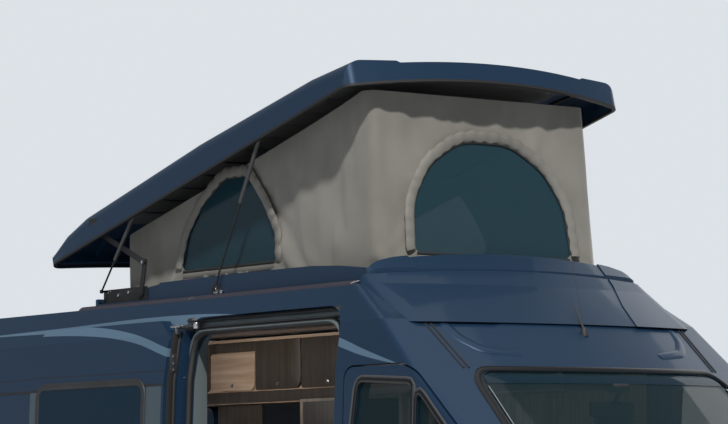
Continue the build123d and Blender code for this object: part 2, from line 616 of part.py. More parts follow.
film = (tent & prism(SIDE_ARCH, SIDE_ARCH_R, "y", -900, 900, grow=-SEAT_GAP))
film += tent & prism(FRONT_ARCH, FRONT_ARCH_R, "x", 500, 900, grow=-SEAT_GAP)
keep("tent_windows", film)

# Wheels: section columns are radius, distance outwards from the middle
TYRE_SECTION = (
    (RIM_R + SEAT_GAP, -98), (220, -98.5), (250, -112.5), (318, -112.5), (350, -100), (TYRE_R, -84),
    (TYRE_R, 84), (350, 100), (318, 112.5), (250, 112.5), (220, 98.5), (RIM_R + SEAT_GAP, 98),
)
RIM_SECTION = (
    (RIM_R, -98), (217, -99), (217, -105), (203, -105), (186, -90), (186, 40), (120, 62), (82, 34), (36, 34),
    (36, 48), (76, 48), (112, 80), (176, 66), (196, 104), (217, 105), (217, 99), (RIM_R, 98),
)
DISC_SECTION = ((40, 33.7), (78, 33.7), (78, -24), (150, -24), (150, -46), (40, -46))


def turned(section):
    line = Polyline(*[(r, a, 0) for r, a in section], close=True)
    return revolve(make_face(line.edges()).face(), axis=Axis.Y)


tyre = turned(TYRE_SECTION)
rim = turned(RIM_SECTION)
HAND_HOLES = 8
for i in range(HAND_HOLES):
    rim -= Rot(0, 360 / HAND_HOLES * i, 0) * cyl_y(148, 0, 21, 40, 100)
rim += turned(((0, 40), (37, 40), (37, 56), (0, 62)))
rim += turned(DISC_SECTION)
PLACES = (
    ("front_left", FRONT_AXLE, TRACK_FRONT / 2), ("front_right", FRONT_AXLE, -TRACK_FRONT / 2),
    ("rear_left", REAR_AXLE, TRACK_REAR / 2), ("rear_right", REAR_AXLE, -TRACK_REAR / 2),
)
for name, x, y in PLACES:
    turn = Rot(0, 0, 0) if y > 0 else Rot(0, 0, 180)
    keep(f"tyre_{name}", Pos(x, y, TYRE_R) * turn * tyre)
    keep(f"rim_{name}", Pos(x, y, TYRE_R) * turn * rim)

# Chassis, axles and knuckles
rails = box(-2850, 2760, RAIL_Y - RAIL_W / 2, RAIL_Y + RAIL_W / 2, FLOOR_TOP - FLOOR_THICK - RAIL_H, FLOOR_TOP - FLOOR_THICK)
rails += mirror(rails, about=Plane.XZ)
for x in (-2815, -1300, 0, 1200, 2700):
    rails += box(x - 35, x + 35, -RAIL_Y, RAIL_Y, 415, 485)
beam = box(2760, 2810, -620, 620, 430, 560)
rails += beam
HITCH_X = 300
HITCH_Z = 60
hitch = box(-2870, -2850, -HITCH_X - 60, HITCH_X + 60, 395, 505)
for y in (-HITCH_X, HITCH_X):
    for z in (450 - HITCH_Z / 2, 450 + HITCH_Z / 2):
        hitch -= cyl_x(y, z, 6.5, -2900, -2800)
rails += hitch
keep("chassis_rails", rails)
keep("engine_block", box(2345, 2705, -350, 350, 500, 1000) + box(2435, 2535, -394.7, 394.7, 440, 520))
KING_Y = 800
KING_LOW = 232
KING_HIGH = 498
arm_plan = ((1930, 395), (1930, 330), (2230, 330), (2230, 395), (2075, KING_Y + 22), (2027, KING_Y + 22))
lower = prism(arm_plan, (2, 2, 2, 2, 22, 22), "z", 200, 228)
lower += box(1930, 2230, 0, 395, 200, 394.7)
tower = cyl_z(FRONT_AXLE, 655, 58, 560, 800) + cyl_z(FRONT_AXLE, 655, 26, 500, 560)
tower += box(FRONT_AXLE - 24, FRONT_AXLE + 24, 640, KING_Y, 502, 528) + cyl_z(FRONT_AXLE, KING_Y, 24, 502, 528)
tower += cyl_z(FRONT_AXLE, KING_Y, 9, 490, 502)
lower += cyl_z(FRONT_AXLE, KING_Y, 9, 228, 240)
keep("front_suspension", lower + mirror(lower, about=Plane.XZ) + tower + mirror(tower, about=Plane.XZ))
upright = cyl_z(FRONT_AXLE, KING_Y, 26, KING_LOW, KING_HIGH)
upright += cyl_y(FRONT_AXLE, TYRE_R, 62, KING_Y - 30, TRACK_FRONT / 2 - 52)
upright += cyl_y(FRONT_AXLE, TYRE_R, 39, KING_Y - 30, TRACK_FRONT / 2 + 33)
for z0, z1 in ((KING_LOW - 1, 244), (486, KING_HIGH + 1)):
    upright -= cyl_z(FRONT_AXLE, KING_Y, 9 + RUN, z0, z1)
caliper = box(FRONT_AXLE - 172, FRONT_AXLE - 90, TRACK_FRONT / 2 - 80, TRACK_FRONT / 2 - 8, TYRE_R - 60, TYRE_R + 60)
caliper -= cyl_y(FRONT_AXLE, TYRE_R, 153, TRACK_FRONT / 2 - 50, TRACK_FRONT / 2 - 20)
caliper += box(FRONT_AXLE - 120, FRONT_AXLE, TRACK_FRONT / 2 - 80, TRACK_FRONT / 2 - 62, TYRE_R - 30, TYRE_R + 30)
keep("knuckle_left", upright + caliper)
keep("knuckle_right", mirror(upright + caliper, about=Plane.XZ))
axle = cyl_y(REAR_AXLE, 330, 48, -780, 780)
for side in (1, -1):
    y0, y1 = sorted((side * 740, side * (TRACK_REAR / 2 - 52)))
    axle += cyl_y(REAR_AXLE, TYRE_R, 70, y0, y1)
    y0, y1 = sorted((side * 740, side * (TRACK_REAR / 2 + 33)))
    axle += cyl_y(REAR_AXLE, TYRE_R, 39, y0, y1)
SPRING_Y = 590
spring_line = ThreePointArc((-2690, 0, 448), (REAR_AXLE, 0, 372), (-1280, 0, 448)).edge()
spring_top = ThreePointArc((-2690, 0, 478), (REAR_AXLE, 0, 414), (-1280, 0, 478)).edge()
ends = [Line((-2690, 0, 448), (-2690, 0, 478)).edge(), Line((-1280, 0, 448), (-1280, 0, 478)).edge()]
spring = Pos(0, SPRING_Y - 35, 0) * extrude(make_face([spring_line, spring_top, *ends]).face(), amount=70, dir=(0, 1, 0))
spring += box(-2700, -2640, SPRING_Y - 35, SPRING_Y + 35, 470, 504.7)
spring += box(-1330, -1270, SPRING_Y - 35, SPRING_Y + 35, 470, 504.7)
axle += spring + mirror(spring, about=Plane.XZ)
keep("rear_axle", axle)

# Front of the cab
cab_space = body_solid(SEAT_GAP, CABIN)
DASH = ((2400, 640), (2400, 1240), (1900, 1220), (1760, 1150), (1720, 1000), (1800, 860), (1900, 640))
dash = prism(DASH, (5, 5, 60, 60, 60, 60, 20), "y", -900, 900) & cab_space & cabin
dash -= box(2100, 2500, -560, 560, 500, 1200)
WHEEL_TILT = 62
WHEEL_AT = (1650, 430, 1235)
wheel = Torus(190, 15) + Cylinder(42, 40)
for turn in (0, 120, 240):
    wheel += Rot(0, 0, turn + 30) * Pos(110, 0, 0) * Box(150, 34, 14)
wheel_at = Pos(*WHEEL_AT) * Rot(0, -WHEEL_TILT, 0)
keep("steering_wheel", wheel_at * wheel)
keep("dashboard", dash + wheel_at * Pos(0, 0, -140 - SEAT_GAP) * Cylinder(34, 240))


def seat(y):
    back = ((1200, 910), (1080, 910), (960, 1560), (1010, 1640), (1070, 1640), (1110, 1560))
    head = ((1000, 1655), (1075, 1655), (1060, 1830), (985, 1830))
    piece = box(1200, 1560, y - 200, y + 200, FLOOR_TOP, 870)
    piece += prism(((1120, 830), (1650, 850), (1650, 960), (1130, 940)), 30, "y", y - 240, y + 240)
    piece += prism(back, (30, 30, 40, 30, 20, 40), "y", y - 235, y + 235)
    piece += prism(head, 25, "y", y - 130, y + 130)
    for side in (-60, 60):
        piece += cyl_z(1035, y + side, 6, 1600, 1700)
    return piece


bench = box(180, 700, 250, 925, FLOOR_TOP, 1000) + box(180, 280, 250, 925, 990, 1560)
keep("seats", Compound(children=[*solids_of(both(seat(480))), *solids_of(bench)]))

# Living space furniture
lockers = box(-2850, 560, 560, 960, 1960, 2330) & cab_space
keep("overhead_lockers", lockers)
keep("kitchen_unit", box(-1150, -560, -925, -380, FLOOR_TOP, 1450))
keep("washroom", box(-1150, -250, 180, 960, FLOOR_TOP, 1955) & cab_space)
bed = box(-2860, -1420, -960, 960, 1180, 1330) & cab_space
keep("rear_bed", bed)

# Bumper at the back, lamps and small pieces
bumper = bowed_face(370, 985, -2600, 30000, 60, REAR_X, 70)
bumper = extrude(bumper, amount=BUMPER_TOP - 3 - 370, dir=(0, 0, 1)) & box(REAR_X, REAR_STEP_X, -1100, 1100, 0, 1000)
keep("rear_bumper", bumper)
MIRROR = ((1985, 1200), (2085, 1200), (2085, 1560), (1985, 1560))
mirror_piece = prism(MIRROR, (30, 45, 45, 30), "y", 1080, 1254)
mirror_piece += prism(((2010, 1215), (2070, 1215), (2070, 1262), (2010, 1262)), 15, "y", 1000, 1090)
mirror_piece -= body_solid(0)
keep("mirror_left", mirror_piece)
keep("mirror_right", mirror(mirror_piece, about=Plane.XZ))

for name, piece in nodes.items():
    export_step(piece, f"parts/{name}.step")
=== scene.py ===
import math

import bmesh
import bpy
from mathutils import Matrix, Vector
from mathutils.bvhtree import BVHTree


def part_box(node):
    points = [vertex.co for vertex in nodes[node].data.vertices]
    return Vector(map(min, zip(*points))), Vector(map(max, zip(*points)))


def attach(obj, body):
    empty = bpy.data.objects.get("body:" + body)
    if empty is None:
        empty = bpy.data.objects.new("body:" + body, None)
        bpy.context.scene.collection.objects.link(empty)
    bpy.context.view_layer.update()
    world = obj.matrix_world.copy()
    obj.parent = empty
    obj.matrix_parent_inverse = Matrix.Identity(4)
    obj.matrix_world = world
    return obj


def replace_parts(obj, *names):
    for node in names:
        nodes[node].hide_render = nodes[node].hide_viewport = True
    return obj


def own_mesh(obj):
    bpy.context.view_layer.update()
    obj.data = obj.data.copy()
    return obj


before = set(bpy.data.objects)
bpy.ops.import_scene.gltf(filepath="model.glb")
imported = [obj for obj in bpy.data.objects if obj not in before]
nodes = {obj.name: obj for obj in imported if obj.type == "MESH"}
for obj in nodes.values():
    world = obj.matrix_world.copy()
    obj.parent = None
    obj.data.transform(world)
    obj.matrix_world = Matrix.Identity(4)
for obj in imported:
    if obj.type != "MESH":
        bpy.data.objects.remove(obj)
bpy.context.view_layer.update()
scene = bpy.context.scene
scene.view_settings.view_transform = "Standard"
print("frame loaded:", len(nodes), "nodes")

# ---- Studio ----

studio = {
    "cameraAt": (11.677, -8.863, 1.546),
    "heading": 0.63635, "tilt": 0.08944, "roll": -0.0095,   # radians
    "lens": 145.4,
    "floorColour": (0.62, 0.63, 0.65),
    "skyColour": (0.62, 0.68, 0.74),
    "skyStrength": 0.3,
    "seenSky": (0.72, 0.76, 0.8),
    "keyFrom": (1.75, -0.98, 2.06), "keyStrength": 3.5, "keyAngle": 3, "keyColour": (1.0, 0.97, 0.92),
    "aim": (0, 0, 1.5),
    # name, place, size and watts of each soft light
    "fills": (("sideFill", (2, -14, 6), 9, 150), ("farFill", (-4, 13, 7), 9, 190), ("topFill", (0, 0, 12), 10, 120)),
    "ceilingAt": (-1.75, -0.5, 2.2), "ceilingAim": (-2.35, 0.56, 2.12), "ceilingColour": (1.0, 0.93, 0.86),
}


def linked(data):
    obj = bpy.data.objects.new(data.name, data)
    scene.collection.objects.link(obj)
    return obj


def feed(tree, target, inputs):
    # links what is a socket and sets what is a value, where a colour gets its alpha
    for key, value in inputs.items():
        socket = target.inputs[key]
        if isinstance(value, bpy.types.NodeSocket):
            tree.links.new(value, socket)
        else:
            socket.default_value = (*value, 1) if socket.type == "RGBA" else value


def node(tree, kind, inputs, **settings):
    made = tree.nodes.new("ShaderNode" + kind)
    for key, value in settings.items():
        setattr(made, key, value)
    feed(tree, made, inputs)
    return made


def buildCamera():
    heading, tilt, roll = studio["heading"], studio["tilt"], studio["roll"]
    ahead = Vector((-math.cos(heading) * math.cos(tilt), math.sin(heading) * math.cos(tilt), math.sin(tilt)))
    right = ahead.cross(Vector((0, 0, 1))).normalized()
    up = right.cross(ahead)
    rolledRight = right * math.cos(roll) + up * math.sin(roll)
    rolledUp = up * math.cos(roll) - right * math.sin(roll)
    camera = bpy.data.cameras.new("camera")
    camera.lens = studio["lens"]
    camera.clip_end = 200
    obj = linked(camera)
    turn = Matrix((rolledRight, rolledUp, -ahead)).transposed().to_4x4()
    obj.matrix_world = Matrix.Translation(studio["cameraAt"]) @ turn
    scene.camera = obj


def addArea(name, place, aim, size, energy):
    light = bpy.data.lights.new(name, "AREA")
    light.size = size
    light.energy = energy
    obj = linked(light)
    obj.location = place
    obj.rotation_euler = (Vector(place) - Vector(aim)).to_track_quat("Z", "Y").to_euler()
    return light


def buildLights():
    sun = bpy.data.lights.new("keySun", "SUN")
    sun.energy = studio["keyStrength"]
    sun.angle = math.radians(studio["keyAngle"])
    sun.color = studio["keyColour"]
    linked(sun).rotation_euler = Vector(studio["keyFrom"]).to_track_quat("Z", "Y").to_euler()
    for name, place, size, energy in studio["fills"]:
        addArea(name, place, studio["aim"], size, energy)
    lamp = addArea("ceilingLamp", studio["ceilingAt"], studio["ceilingAim"], 0.4, 10)
    lamp.color = studio["ceilingColour"]


def buildSky():
    # the sky that lights the scene is dimmer than the pale one that the camera sees
    world = bpy.data.worlds.new("studioSky")
    scene.world = world
    world.use_nodes = True
    tree = world.node_tree
    rays = node(tree, "LightPath", {}).outputs
    seen = node(tree, "Math", {0: rays["Is Camera Ray"], 1: rays["Is Transmission Ray"]}, operation="MAXIMUM")
    lit = tree.nodes["Background"]
    feed(tree, lit, {"Color": studio["skyColour"], "Strength": studio["skyStrength"]})
    pale = node(tree, "Background", {"Color": studio["seenSky"]})
    mix = node(tree, "MixShader", {0: seen.outputs[0], 1: lit.outputs[0], 2: pale.outputs[0]})
    feed(tree, tree.nodes["World Output"], {"Surface": mix.outputs[0]})


# ---- Materials ----


def shaderOf(material):
    return material.node_tree.nodes["Principled BSDF"]


def plainMaterial(name, colour, roughness=0.5, **sockets):
    material = bpy.data.materials.new(name)
    material.use_nodes = True
    inputs = {key.replace("_", " "): value for key, value in sockets.items()}
    inputs.update({"Base Color": colour, "Roughness": roughness})
    feed(material.node_tree, shaderOf(material), inputs)
    return material


def noiseAt(tree, scale, detail=3, stretch=(1, 1, 1)):
    coords = node(tree, "TexCoord", {}).outputs["Object"]
    place = node(tree, "Mapping", {"Vector": coords, "Scale": stretch}).outputs["Vector"]
    return node(tree, "TexNoise", {"Vector": place, "Scale": scale, "Detail": detail}).outputs["Fac"]


def spread(tree, value, low, high, fromLow=0.3, fromHigh=0.7):
    inputs = {"Value": value, "From Min": fromLow, "From Max": fromHigh, "To Min": low, "To Max": high}
    return node(tree, "MapRange", inputs).outputs["Result"]


def blended(tree, factor, first, second):
    return node(tree, "Mix", {0: factor, 6: first, 7: second}, data_type="RGBA").outputs[2]


def mathOf(tree, operation, first, second):
    return node(tree, "Math", {0: first, 1: second}, operation=operation).outputs[0]


def bumped(material, height, strength, distance=0.001):
    tree = material.node_tree
    bump = node(tree, "Bump", {"Height": height, "Strength": strength, "Distance": distance})
    feed(tree, shaderOf(material), {"Normal": bump.outputs["Normal"]})


def shades(colour, variation):
    return [tuple(min(1, c * (1 + change)) for c in colour) for change in (-variation, variation)]


def wornMaterial(name, colour, roughness, variation=0.12, grain=900, grainDepth=0.15, patch=3.0, **sockets):
    # a colour with broad patches in it, a fine grain, and a roughness that follows the patches
    material = plainMaterial(name, colour, roughness, **sockets)
    tree, shader = material.node_tree, shaderOf(material)
    broad = noiseAt(tree, patch, 6)
    low, high = max(0.02, roughness * (1 - variation)), min(1, roughness * (1 + variation))
    feed(tree, shader, {
        "Base Color": blended(tree, spread(tree, broad, 0, 1), *shades(colour, variation)),
        "Roughness": spread(tree, broad, high, low),
    })
    if grainDepth:
        bumped(material, noiseAt(tree, grain, 2), grainDepth)
    return material


stripe = {
    "colour": (0.115, 0.195, 0.285),
    "from": -2.9, "to": 1.4, "low": 2.0, "high": 2.4,
    "top": (
        (-2.75, 2.322), (-1.9, 2.334), (-0.54, 2.348), (-0.08, 2.326),
        (0.31, 2.286), (0.76, 2.184), (1.0, 2.112), (1.28, 2.035),
    ),
    "bottom": (
        (-2.75, 2.321), (-1.9, 2.312), (-0.54, 2.294), (-0.08, 2.278),
        (0.31, 2.243), (0.76, 2.143), (1.0, 2.083), (1.28, 2.034),
    ),
}


def stripeEdge(tree, along, points):
    span, rise = stripe["to"] - stripe["from"], stripe["high"] - stripe["low"]
    curve = node(tree, "FloatCurve", {"Value": along})
    line = curve.mapping.curves[0]
    for _ in range(len(points) - 2):
        line.points.new(0.5, 0.5)
    for point, (x, z) in zip(line.points, points):
        point.location = ((x - stripe["from"]) / span, (z - stripe["low"]) / rise)
    curve.mapping.update()
    return spread(tree, curve.outputs[0], stripe["low"], stripe["high"], 0, 1)


def paintMaterial(name, striped=True, moved=0.0):
    # dark blue metallic lacquer, with the pale band along the side where asked
    material = plainMaterial(
        name, (0.012, 0.036, 0.078), 0.36,
        Metallic=0.3, Coat_Weight=0.35, Coat_Roughness=0.06, Specular_IOR_Level=0.3,
    )
    tree, shader = material.node_tree, shaderOf(material)
    flake = noiseAt(tree, 1600, 1)
    broad = noiseAt(tree, 1.3, 5)
    paint = blended(tree, spread(tree, flake, 0, 1), (0.0105, 0.032, 0.070), (0.0135, 0.040, 0.086))
    paint = blended(tree, spread(tree, broad, 0, 0.35), paint, (0.0145, 0.038, 0.078))
    if striped:
        coords = node(tree, "TexCoord", {}).outputs["Object"]
        at = node(tree, "SeparateXYZ", {0: coords}).outputs
        along = spread(tree, at["X"], 0, 1, stripe["from"] + moved, stripe["to"] + moved)
        under = mathOf(tree, "LESS_THAN", at["Z"], stripeEdge(tree, along, stripe["top"]))
        above = mathOf(tree, "GREATER_THAN", at["Z"], stripeEdge(tree, along, stripe["bottom"]))
        paint = blended(tree, mathOf(tree, "MULTIPLY", under, above), paint, stripe["colour"])
    feed(tree, shader, {"Base Color": paint, "Roughness": spread(tree, broad, 0.33, 0.42)})
    return material


def glassMaterial(name, colour, tint, roughness=0.01, smear=0.03):
    # tinted pane: tint is the share of what lies behind that it hides
    material = plainMaterial(name, colour, roughness, Alpha=tint, IOR=1.45)
    tree, shader = material.node_tree, shaderOf(material)
    feed(tree, shader, {"Roughness": spread(tree, noiseAt(tree, 5, 5), roughness, roughness + smear)})
    return material


def woodMaterial(name, light, dark, grainAlong="x"):
    material = plainMaterial(name, light, 0.42, Coat_Weight=0.15, Coat_Roughness=0.3)
    tree, shader = material.node_tree, shaderOf(material)
    stretch = {"x": (1.2, 28, 28), "z": (28, 28, 1.2)}[grainAlong]
    figure = noiseAt(tree, 1.6, 8, stretch)
    pores = noiseAt(tree, 9, 4, stretch)
    wood = blended(tree, spread(tree, figure, 0, 1, 0.35, 0.65), dark, light)
    wood = blended(tree, spread(tree, pores, 0, 0.35, 0.5, 0.8), wood, dark)
    feed(tree, shader, {"Base Color": wood})
    bumped(material, pores, 0.2)
    return material


def weaveMaterial(name, colour, threads, roughness=0.9, variation=0.15, sheen=0.25):
    # crossed threads on the piece's own UV map, which is in metres
    material = plainMaterial(name, colour, roughness, Sheen_Weight=sheen, Sheen_Roughness=0.5)
    tree, shader = material.node_tree, shaderOf(material)
    coords = node(tree, "TexCoord", {}).outputs["UV"]
    wave = {"Vector": coords, "Scale": threads, "Distortion": 0.6, "Detail": 1}
    across, along = (
        node(tree, "TexWave", wave, wave_type="BANDS", bands_direction=way).outputs["Fac"] for way in "XY"
    )
    cloth = mathOf(tree, "MULTIPLY", across, along)
    darker, lighter = shades(colour, variation)
    tone = blended(tree, spread(tree, noiseAt(tree, 4.0, 7), 0, 1), darker, lighter)
    tone = blended(tree, spread(tree, cloth, 0.25, 0, 0, 1), tone, darker)
    feed(tree, shader, {"Base Color": tone})
    bumped(material, cloth, 0.35, 0.0006)
    return material


materials, slotOf = {}, {}


def addLook(slotName, material, names=""):
    # the material fills that slot of the record, and the named CAD nodes take it
    key = material.name.split(".")[0]   # Blender numbers a name that a CAD material already has
    materials[key] = material
    slotOf[key] = slotName
    for name in names.split():
        nodes[name].data.materials.clear()
        nodes[name].data.materials.append(material)


def addWorn(slotName, name, colour, roughness, names="", **settings):
    addLook(slotName, wornMaterial(name, colour, roughness, **settings), names)


def buildPaints():
    addLook("body_paint", paintMaterial("bodyPaint"),
            "side_panel_left side_panel_right windscreen_frame front_wings bonnet "
            "cab_door_left cab_door_right rear_door_left rear_door_right")
    addLook("body_paint", paintMaterial("slidingDoorPaint", moved=-1.337), "sliding_door")
    addLook("roof_plastic", paintMaterial("roofPaint", striped=False), "roof_panel roof_cap roof_shell roof_tray")
    band = plainMaterial("bandPaint", (0.045, 0.07, 0.09), 0.4, Coat_Weight=0.4, Coat_Roughness=0.1)
    addLook("body_paint", band)


def buildPlastics():
    addWorn("dark_plastic", "darkPlastic", (0.022, 0.023, 0.026), 0.55,
            "front_bumper rear_bumper grille mirror_left mirror_right", grainDepth=0.25, grain=700)
    addWorn("seal_rubber", "sealRubber", (0.012, 0.012, 0.013), 0.62, "shell_frame", grainDepth=0.1)
    addWorn("seal_rubber", "ditchSeal", (0.036, 0.032, 0.045), 0.5, grainDepth=0.1)
    addWorn("seal_rubber", "windowRubber", (0.055, 0.06, 0.066), 0.45, grainDepth=0.1)
    addWorn("body_paint", "greyReveal", (0.10, 0.125, 0.135), 0.5, variation=0.08)
    addWorn("dark_plastic", "frit", (0.006, 0.006, 0.007), 0.25, grainDepth=0.0)
    addWorn("dark_plastic", "plateWhite", (0.72, 0.72, 0.70), 0.4, variation=0.03, grainDepth=0.02)
    addWorn("interior_plastic", "interiorPlastic", (0.045, 0.047, 0.052), 0.6,
            "dashboard steering_wheel mid_strut_barrels rear_strut_barrels", grain=600, grainDepth=0.3)
    addWorn("tyre", "tyreRubber", (0.018, 0.018, 0.019), 0.75,
            "tyre_front_left tyre_front_right tyre_rear_left tyre_rear_right",
            variation=0.25, grain=500, grainDepth=0.2, patch=9)


def buildGlasses():
    addLook("window_glass", glassMaterial("windowGlass", (0.006, 0.022, 0.028), 0.5),
            "windscreen cab_window_left cab_window_right rear_window_left rear_window_right side_window_left")
    acrylic = glassMaterial("acrylicWindow", (0.004, 0.022, 0.045), 0.8, 0.03, 0.05)
    addLook("window_glass", acrylic, "sliding_door_window")
    addLook("window_glass", glassMaterial("sunBand", (0.003, 0.02, 0.036), 0.75, 0.02, 0.02))
    for name, colour, roughness, variation, clear, names in (
        ("lampGlass", (0.88, 0.91, 0.94), 0.05, 0.05, 0.9, "headlamps tail_lamps"),
        ("redLens", (0.32, 0.008, 0.006), 0.14, 0.1, 0.25, ""),
        ("amberLens", (0.62, 0.17, 0.012), 0.14, 0.1, 0.25, ""),
    ):
        addWorn("lamp_glass", name, colour, roughness, names,
                variation=variation, grainDepth=0.0, Transmission_Weight=clear)


def buildMetals():
    addWorn("wheel_alloy", "wheelAlloy", (0.38, 0.39, 0.41), 0.34,
            "rim_front_left rim_front_right rim_rear_left rim_rear_right", grainDepth=0.05, Metallic=0.9)
    addWorn("chassis_steel", "chassisSteel", (0.03, 0.031, 0.034), 0.5,
            "floor_pan chassis_rails front_suspension rear_axle engine_block knuckle_left knuckle_right "
            "tray_brackets roof_links roof_arms", variation=0.3, Metallic=0.5)
    addWorn("bright_steel", "strutSteel", (0.03, 0.03, 0.033), 0.22,
            "mid_strut_rods rear_strut_rods", variation=0.1, grainDepth=0.02, Metallic=0.6)
    addWorn("bright_steel", "brightSteel", (0.56, 0.57, 0.59), 0.28, variation=0.1, grainDepth=0.03, Metallic=1.0)
    addWorn("bright_steel", "chrome", (0.75, 0.76, 0.78), 0.12, variation=0.05, grainDepth=0.0, Metallic=1.0)


def buildWoods():
    addLook("light_wood", woodMaterial("lightWood", (0.44, 0.33, 0.245), (0.30, 0.21, 0.15)),
            "overhead_lockers rear_bed")
    addLook("light_wood", woodMaterial("standingWood", (0.42, 0.35, 0.28), (0.30, 0.235, 0.18), "z"),
            "kitchen_unit washroom")
    # the same wood about eight times darker: painted shade for wooden panels that stand in shadow
    addLook("light_wood", woodMaterial("shadedWood", (0.055, 0.043, 0.033), (0.03, 0.023, 0.018), "z"))


def buildCloths():
    addLook("tent_cloth", weaveMaterial("tentFabric", (0.185, 0.18, 0.16), 420), "tent_fabric")
    addWorn("tent_cloth", "tentBinding", (0.17, 0.165, 0.15), 0.85, variation=0.2, grain=1200, grainDepth=0.4)
    addWorn("tent_cloth", "zipTape", (0.02, 0.02, 0.021), 0.7, grain=1500, grainDepth=0.4)
    addLook("upholstery", weaveMaterial("upholstery", (0.13, 0.135, 0.145), 260, variation=0.2), "seats")
    addLook("upholstery", weaveMaterial("mattressCloth", (0.42, 0.42, 0.40), 300))
    addWorn("upholstery", "liner", (0.11, 0.11, 0.108), 0.9, grain=1300, grainDepth=0.5)
    # see-through window film whose dark blue is partly its tint and partly painted reflection of the blue sky
    film = plainMaterial("skyTintedFilm", (0.016, 0.05, 0.07), 0.06, Alpha=0.65, Specular_IOR_Level=0.6)
    bumped(film, noiseAt(film.node_tree, 6, 3), 0.12, 0.01)
    addLook("tent_film", film, "tent_windows")


buildPaints()
buildPlastics()
buildGlasses()
buildMetals()
buildWoods()
buildCloths()
print("materials:", len(materials))

# ---- Modelling helpers ----


def meshOf(bm, name):
    mesh = bpy.data.meshes.new(name)
    bm.to_mesh(mesh)
    bm.free()
    return mesh


def piece(bm, name, materialKey, body="body", sharp=35):
    # a finished bmesh becomes an object that rides on a CAD body
    bmesh.ops.remove_doubles(bm, verts=bm.verts, dist=0.00002)
    bmesh.ops.recalc_face_normals(bm, faces=bm.faces)
    mesh = meshOf(bm, name)
    mesh.materials.append(materials[materialKey])
    mesh.shade_smooth()
    mesh.set_sharp_from_angle(angle=math.radians(sharp))
    obj = linked(mesh)
    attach(obj, body)
    return obj


def bevelled(bm, edges, offset, segments=2):
    bmesh.ops.bevel(bm, geom=edges, offset=offset, segments=segments, profile=0.5, affect="EDGES", material=-1)


def edgesAmong(verts):
    # edges with both ends among the vertices
    chosen = set(verts)
    return [e for e in {e for v in verts for e in v.link_edges} if e.verts[0] in chosen and e.verts[1] in chosen]


def addBlock(bm, low, high, bevel=0.004, segments=2):
    low, high = Vector(low), Vector(high)
    place = Matrix.Translation((low + high) / 2) @ Matrix.Diagonal((*(high - low), 1))
    verts = bmesh.ops.create_cube(bm, size=1, matrix=place)["verts"]
    bevelled(bm, list({e for v in verts for e in v.link_edges}), bevel, segments)


def blockAt(bm, at, low, high, bevel=0.004):
    # a block whose corners are given from a point
    addBlock(bm, at + Vector(low), at + Vector(high), bevel)


def addRound(bm, start, end, radius, endRadius=None, segments=24, bevel=0.0):
    start, end = Vector(start), Vector(end)
    way = end - start
    place = Matrix.Translation((start + end) / 2) @ way.to_track_quat("Z", "Y").to_matrix().to_4x4()
    verts = bmesh.ops.create_cone(
        bm, cap_ends=True, segments=segments, radius1=radius,
        radius2=radius if endRadius is None else endRadius, depth=way.length, matrix=place,
    )["verts"]
    if bevel:
        rims = {e for v in verts for e in v.link_edges if any(len(f.verts) > 4 for f in e.link_faces)}
        bevelled(bm, list(rims), bevel)


def roundAt(bm, at, start, end, *shape):
    # a round bar whose ends are given from a point
    addRound(bm, at + Vector(start), at + Vector(end), *shape)


def addRail(bm, path, width, height=None, corners=8, normals=None, closed=False):
    # a rounded bar pulled along a line; normals say which way its height points
    height = height or width
    path = [Vector(p) for p in path]
    count = len(path)
    normal = Vector((0.31, 0.17, 0.93))
    rings = []
    quarter = Matrix.Rotation(math.pi / corners, 4, "Z")
    grow = 1 / math.cos(math.pi / corners)
    for i, point in enumerate(path):
        ahead = path[(i + 1) % count] if closed or i + 1 < count else point
        behind = path[i - 1] if closed or i else point
        along = (ahead - behind).normalized()
        normal = normals[i] if normals else normal
        side = along.cross(normal).normalized()
        normal = side.cross(along).normalized()
        axes = (side * width / 2 * grow, normal * height / 2 * grow, along)
        place = Matrix(axes).transposed().to_4x4()
        place.translation = point
        capped = not closed and i in (0, count - 1)
        ring = bmesh.ops.create_circle(
            bm, cap_ends=capped, radius=1, segments=corners, matrix=place @ quarter,
        )["verts"]
        rings.append(edgesAmong(ring))
    for first, second in zip(rings, rings[1:] + rings[:1] if closed else rings[1:]):
        bmesh.ops.bridge_loops(bm, edges=first + second)


def addLathe(bm, profile, place, steps=48):
    # (radius, distance along the axis) turned round the local Z axis
    verts = [bm.verts.new(place @ Vector((r, 0, a))) for r, a in profile]
    edges = [bm.edges.new(pair) for pair in zip(verts, verts[1:])]
    axis = place.to_3x3() @ Vector((0, 0, 1))
    bmesh.ops.spin(
        bm, geom=verts + edges, cent=place.translation, axis=axis, angle=math.tau, steps=steps, use_merge=True,
    )


def addPlate(bm, points, depth, bevel=0.0):
    # a flat outline given depth; bevel rounds its front edge
    verts = [bm.verts.new(Vector(p)) for p in points]
    face = bm.faces.new(verts)
    made = bmesh.ops.extrude_face_region(bm, geom=[face])["geom"]
    moved = [g for g in made if isinstance(g, bmesh.types.BMVert)]
    bmesh.ops.translate(bm, verts=moved, vec=Vector(depth))
    if bevel:
        bevelled(bm, edgesAmong(moved), bevel)


def lengthsAlong(line):
    lengths = [0]
    for a, b in zip(line, line[1:]):
        lengths.append(lengths[-1] + (b - a).length)
    return lengths


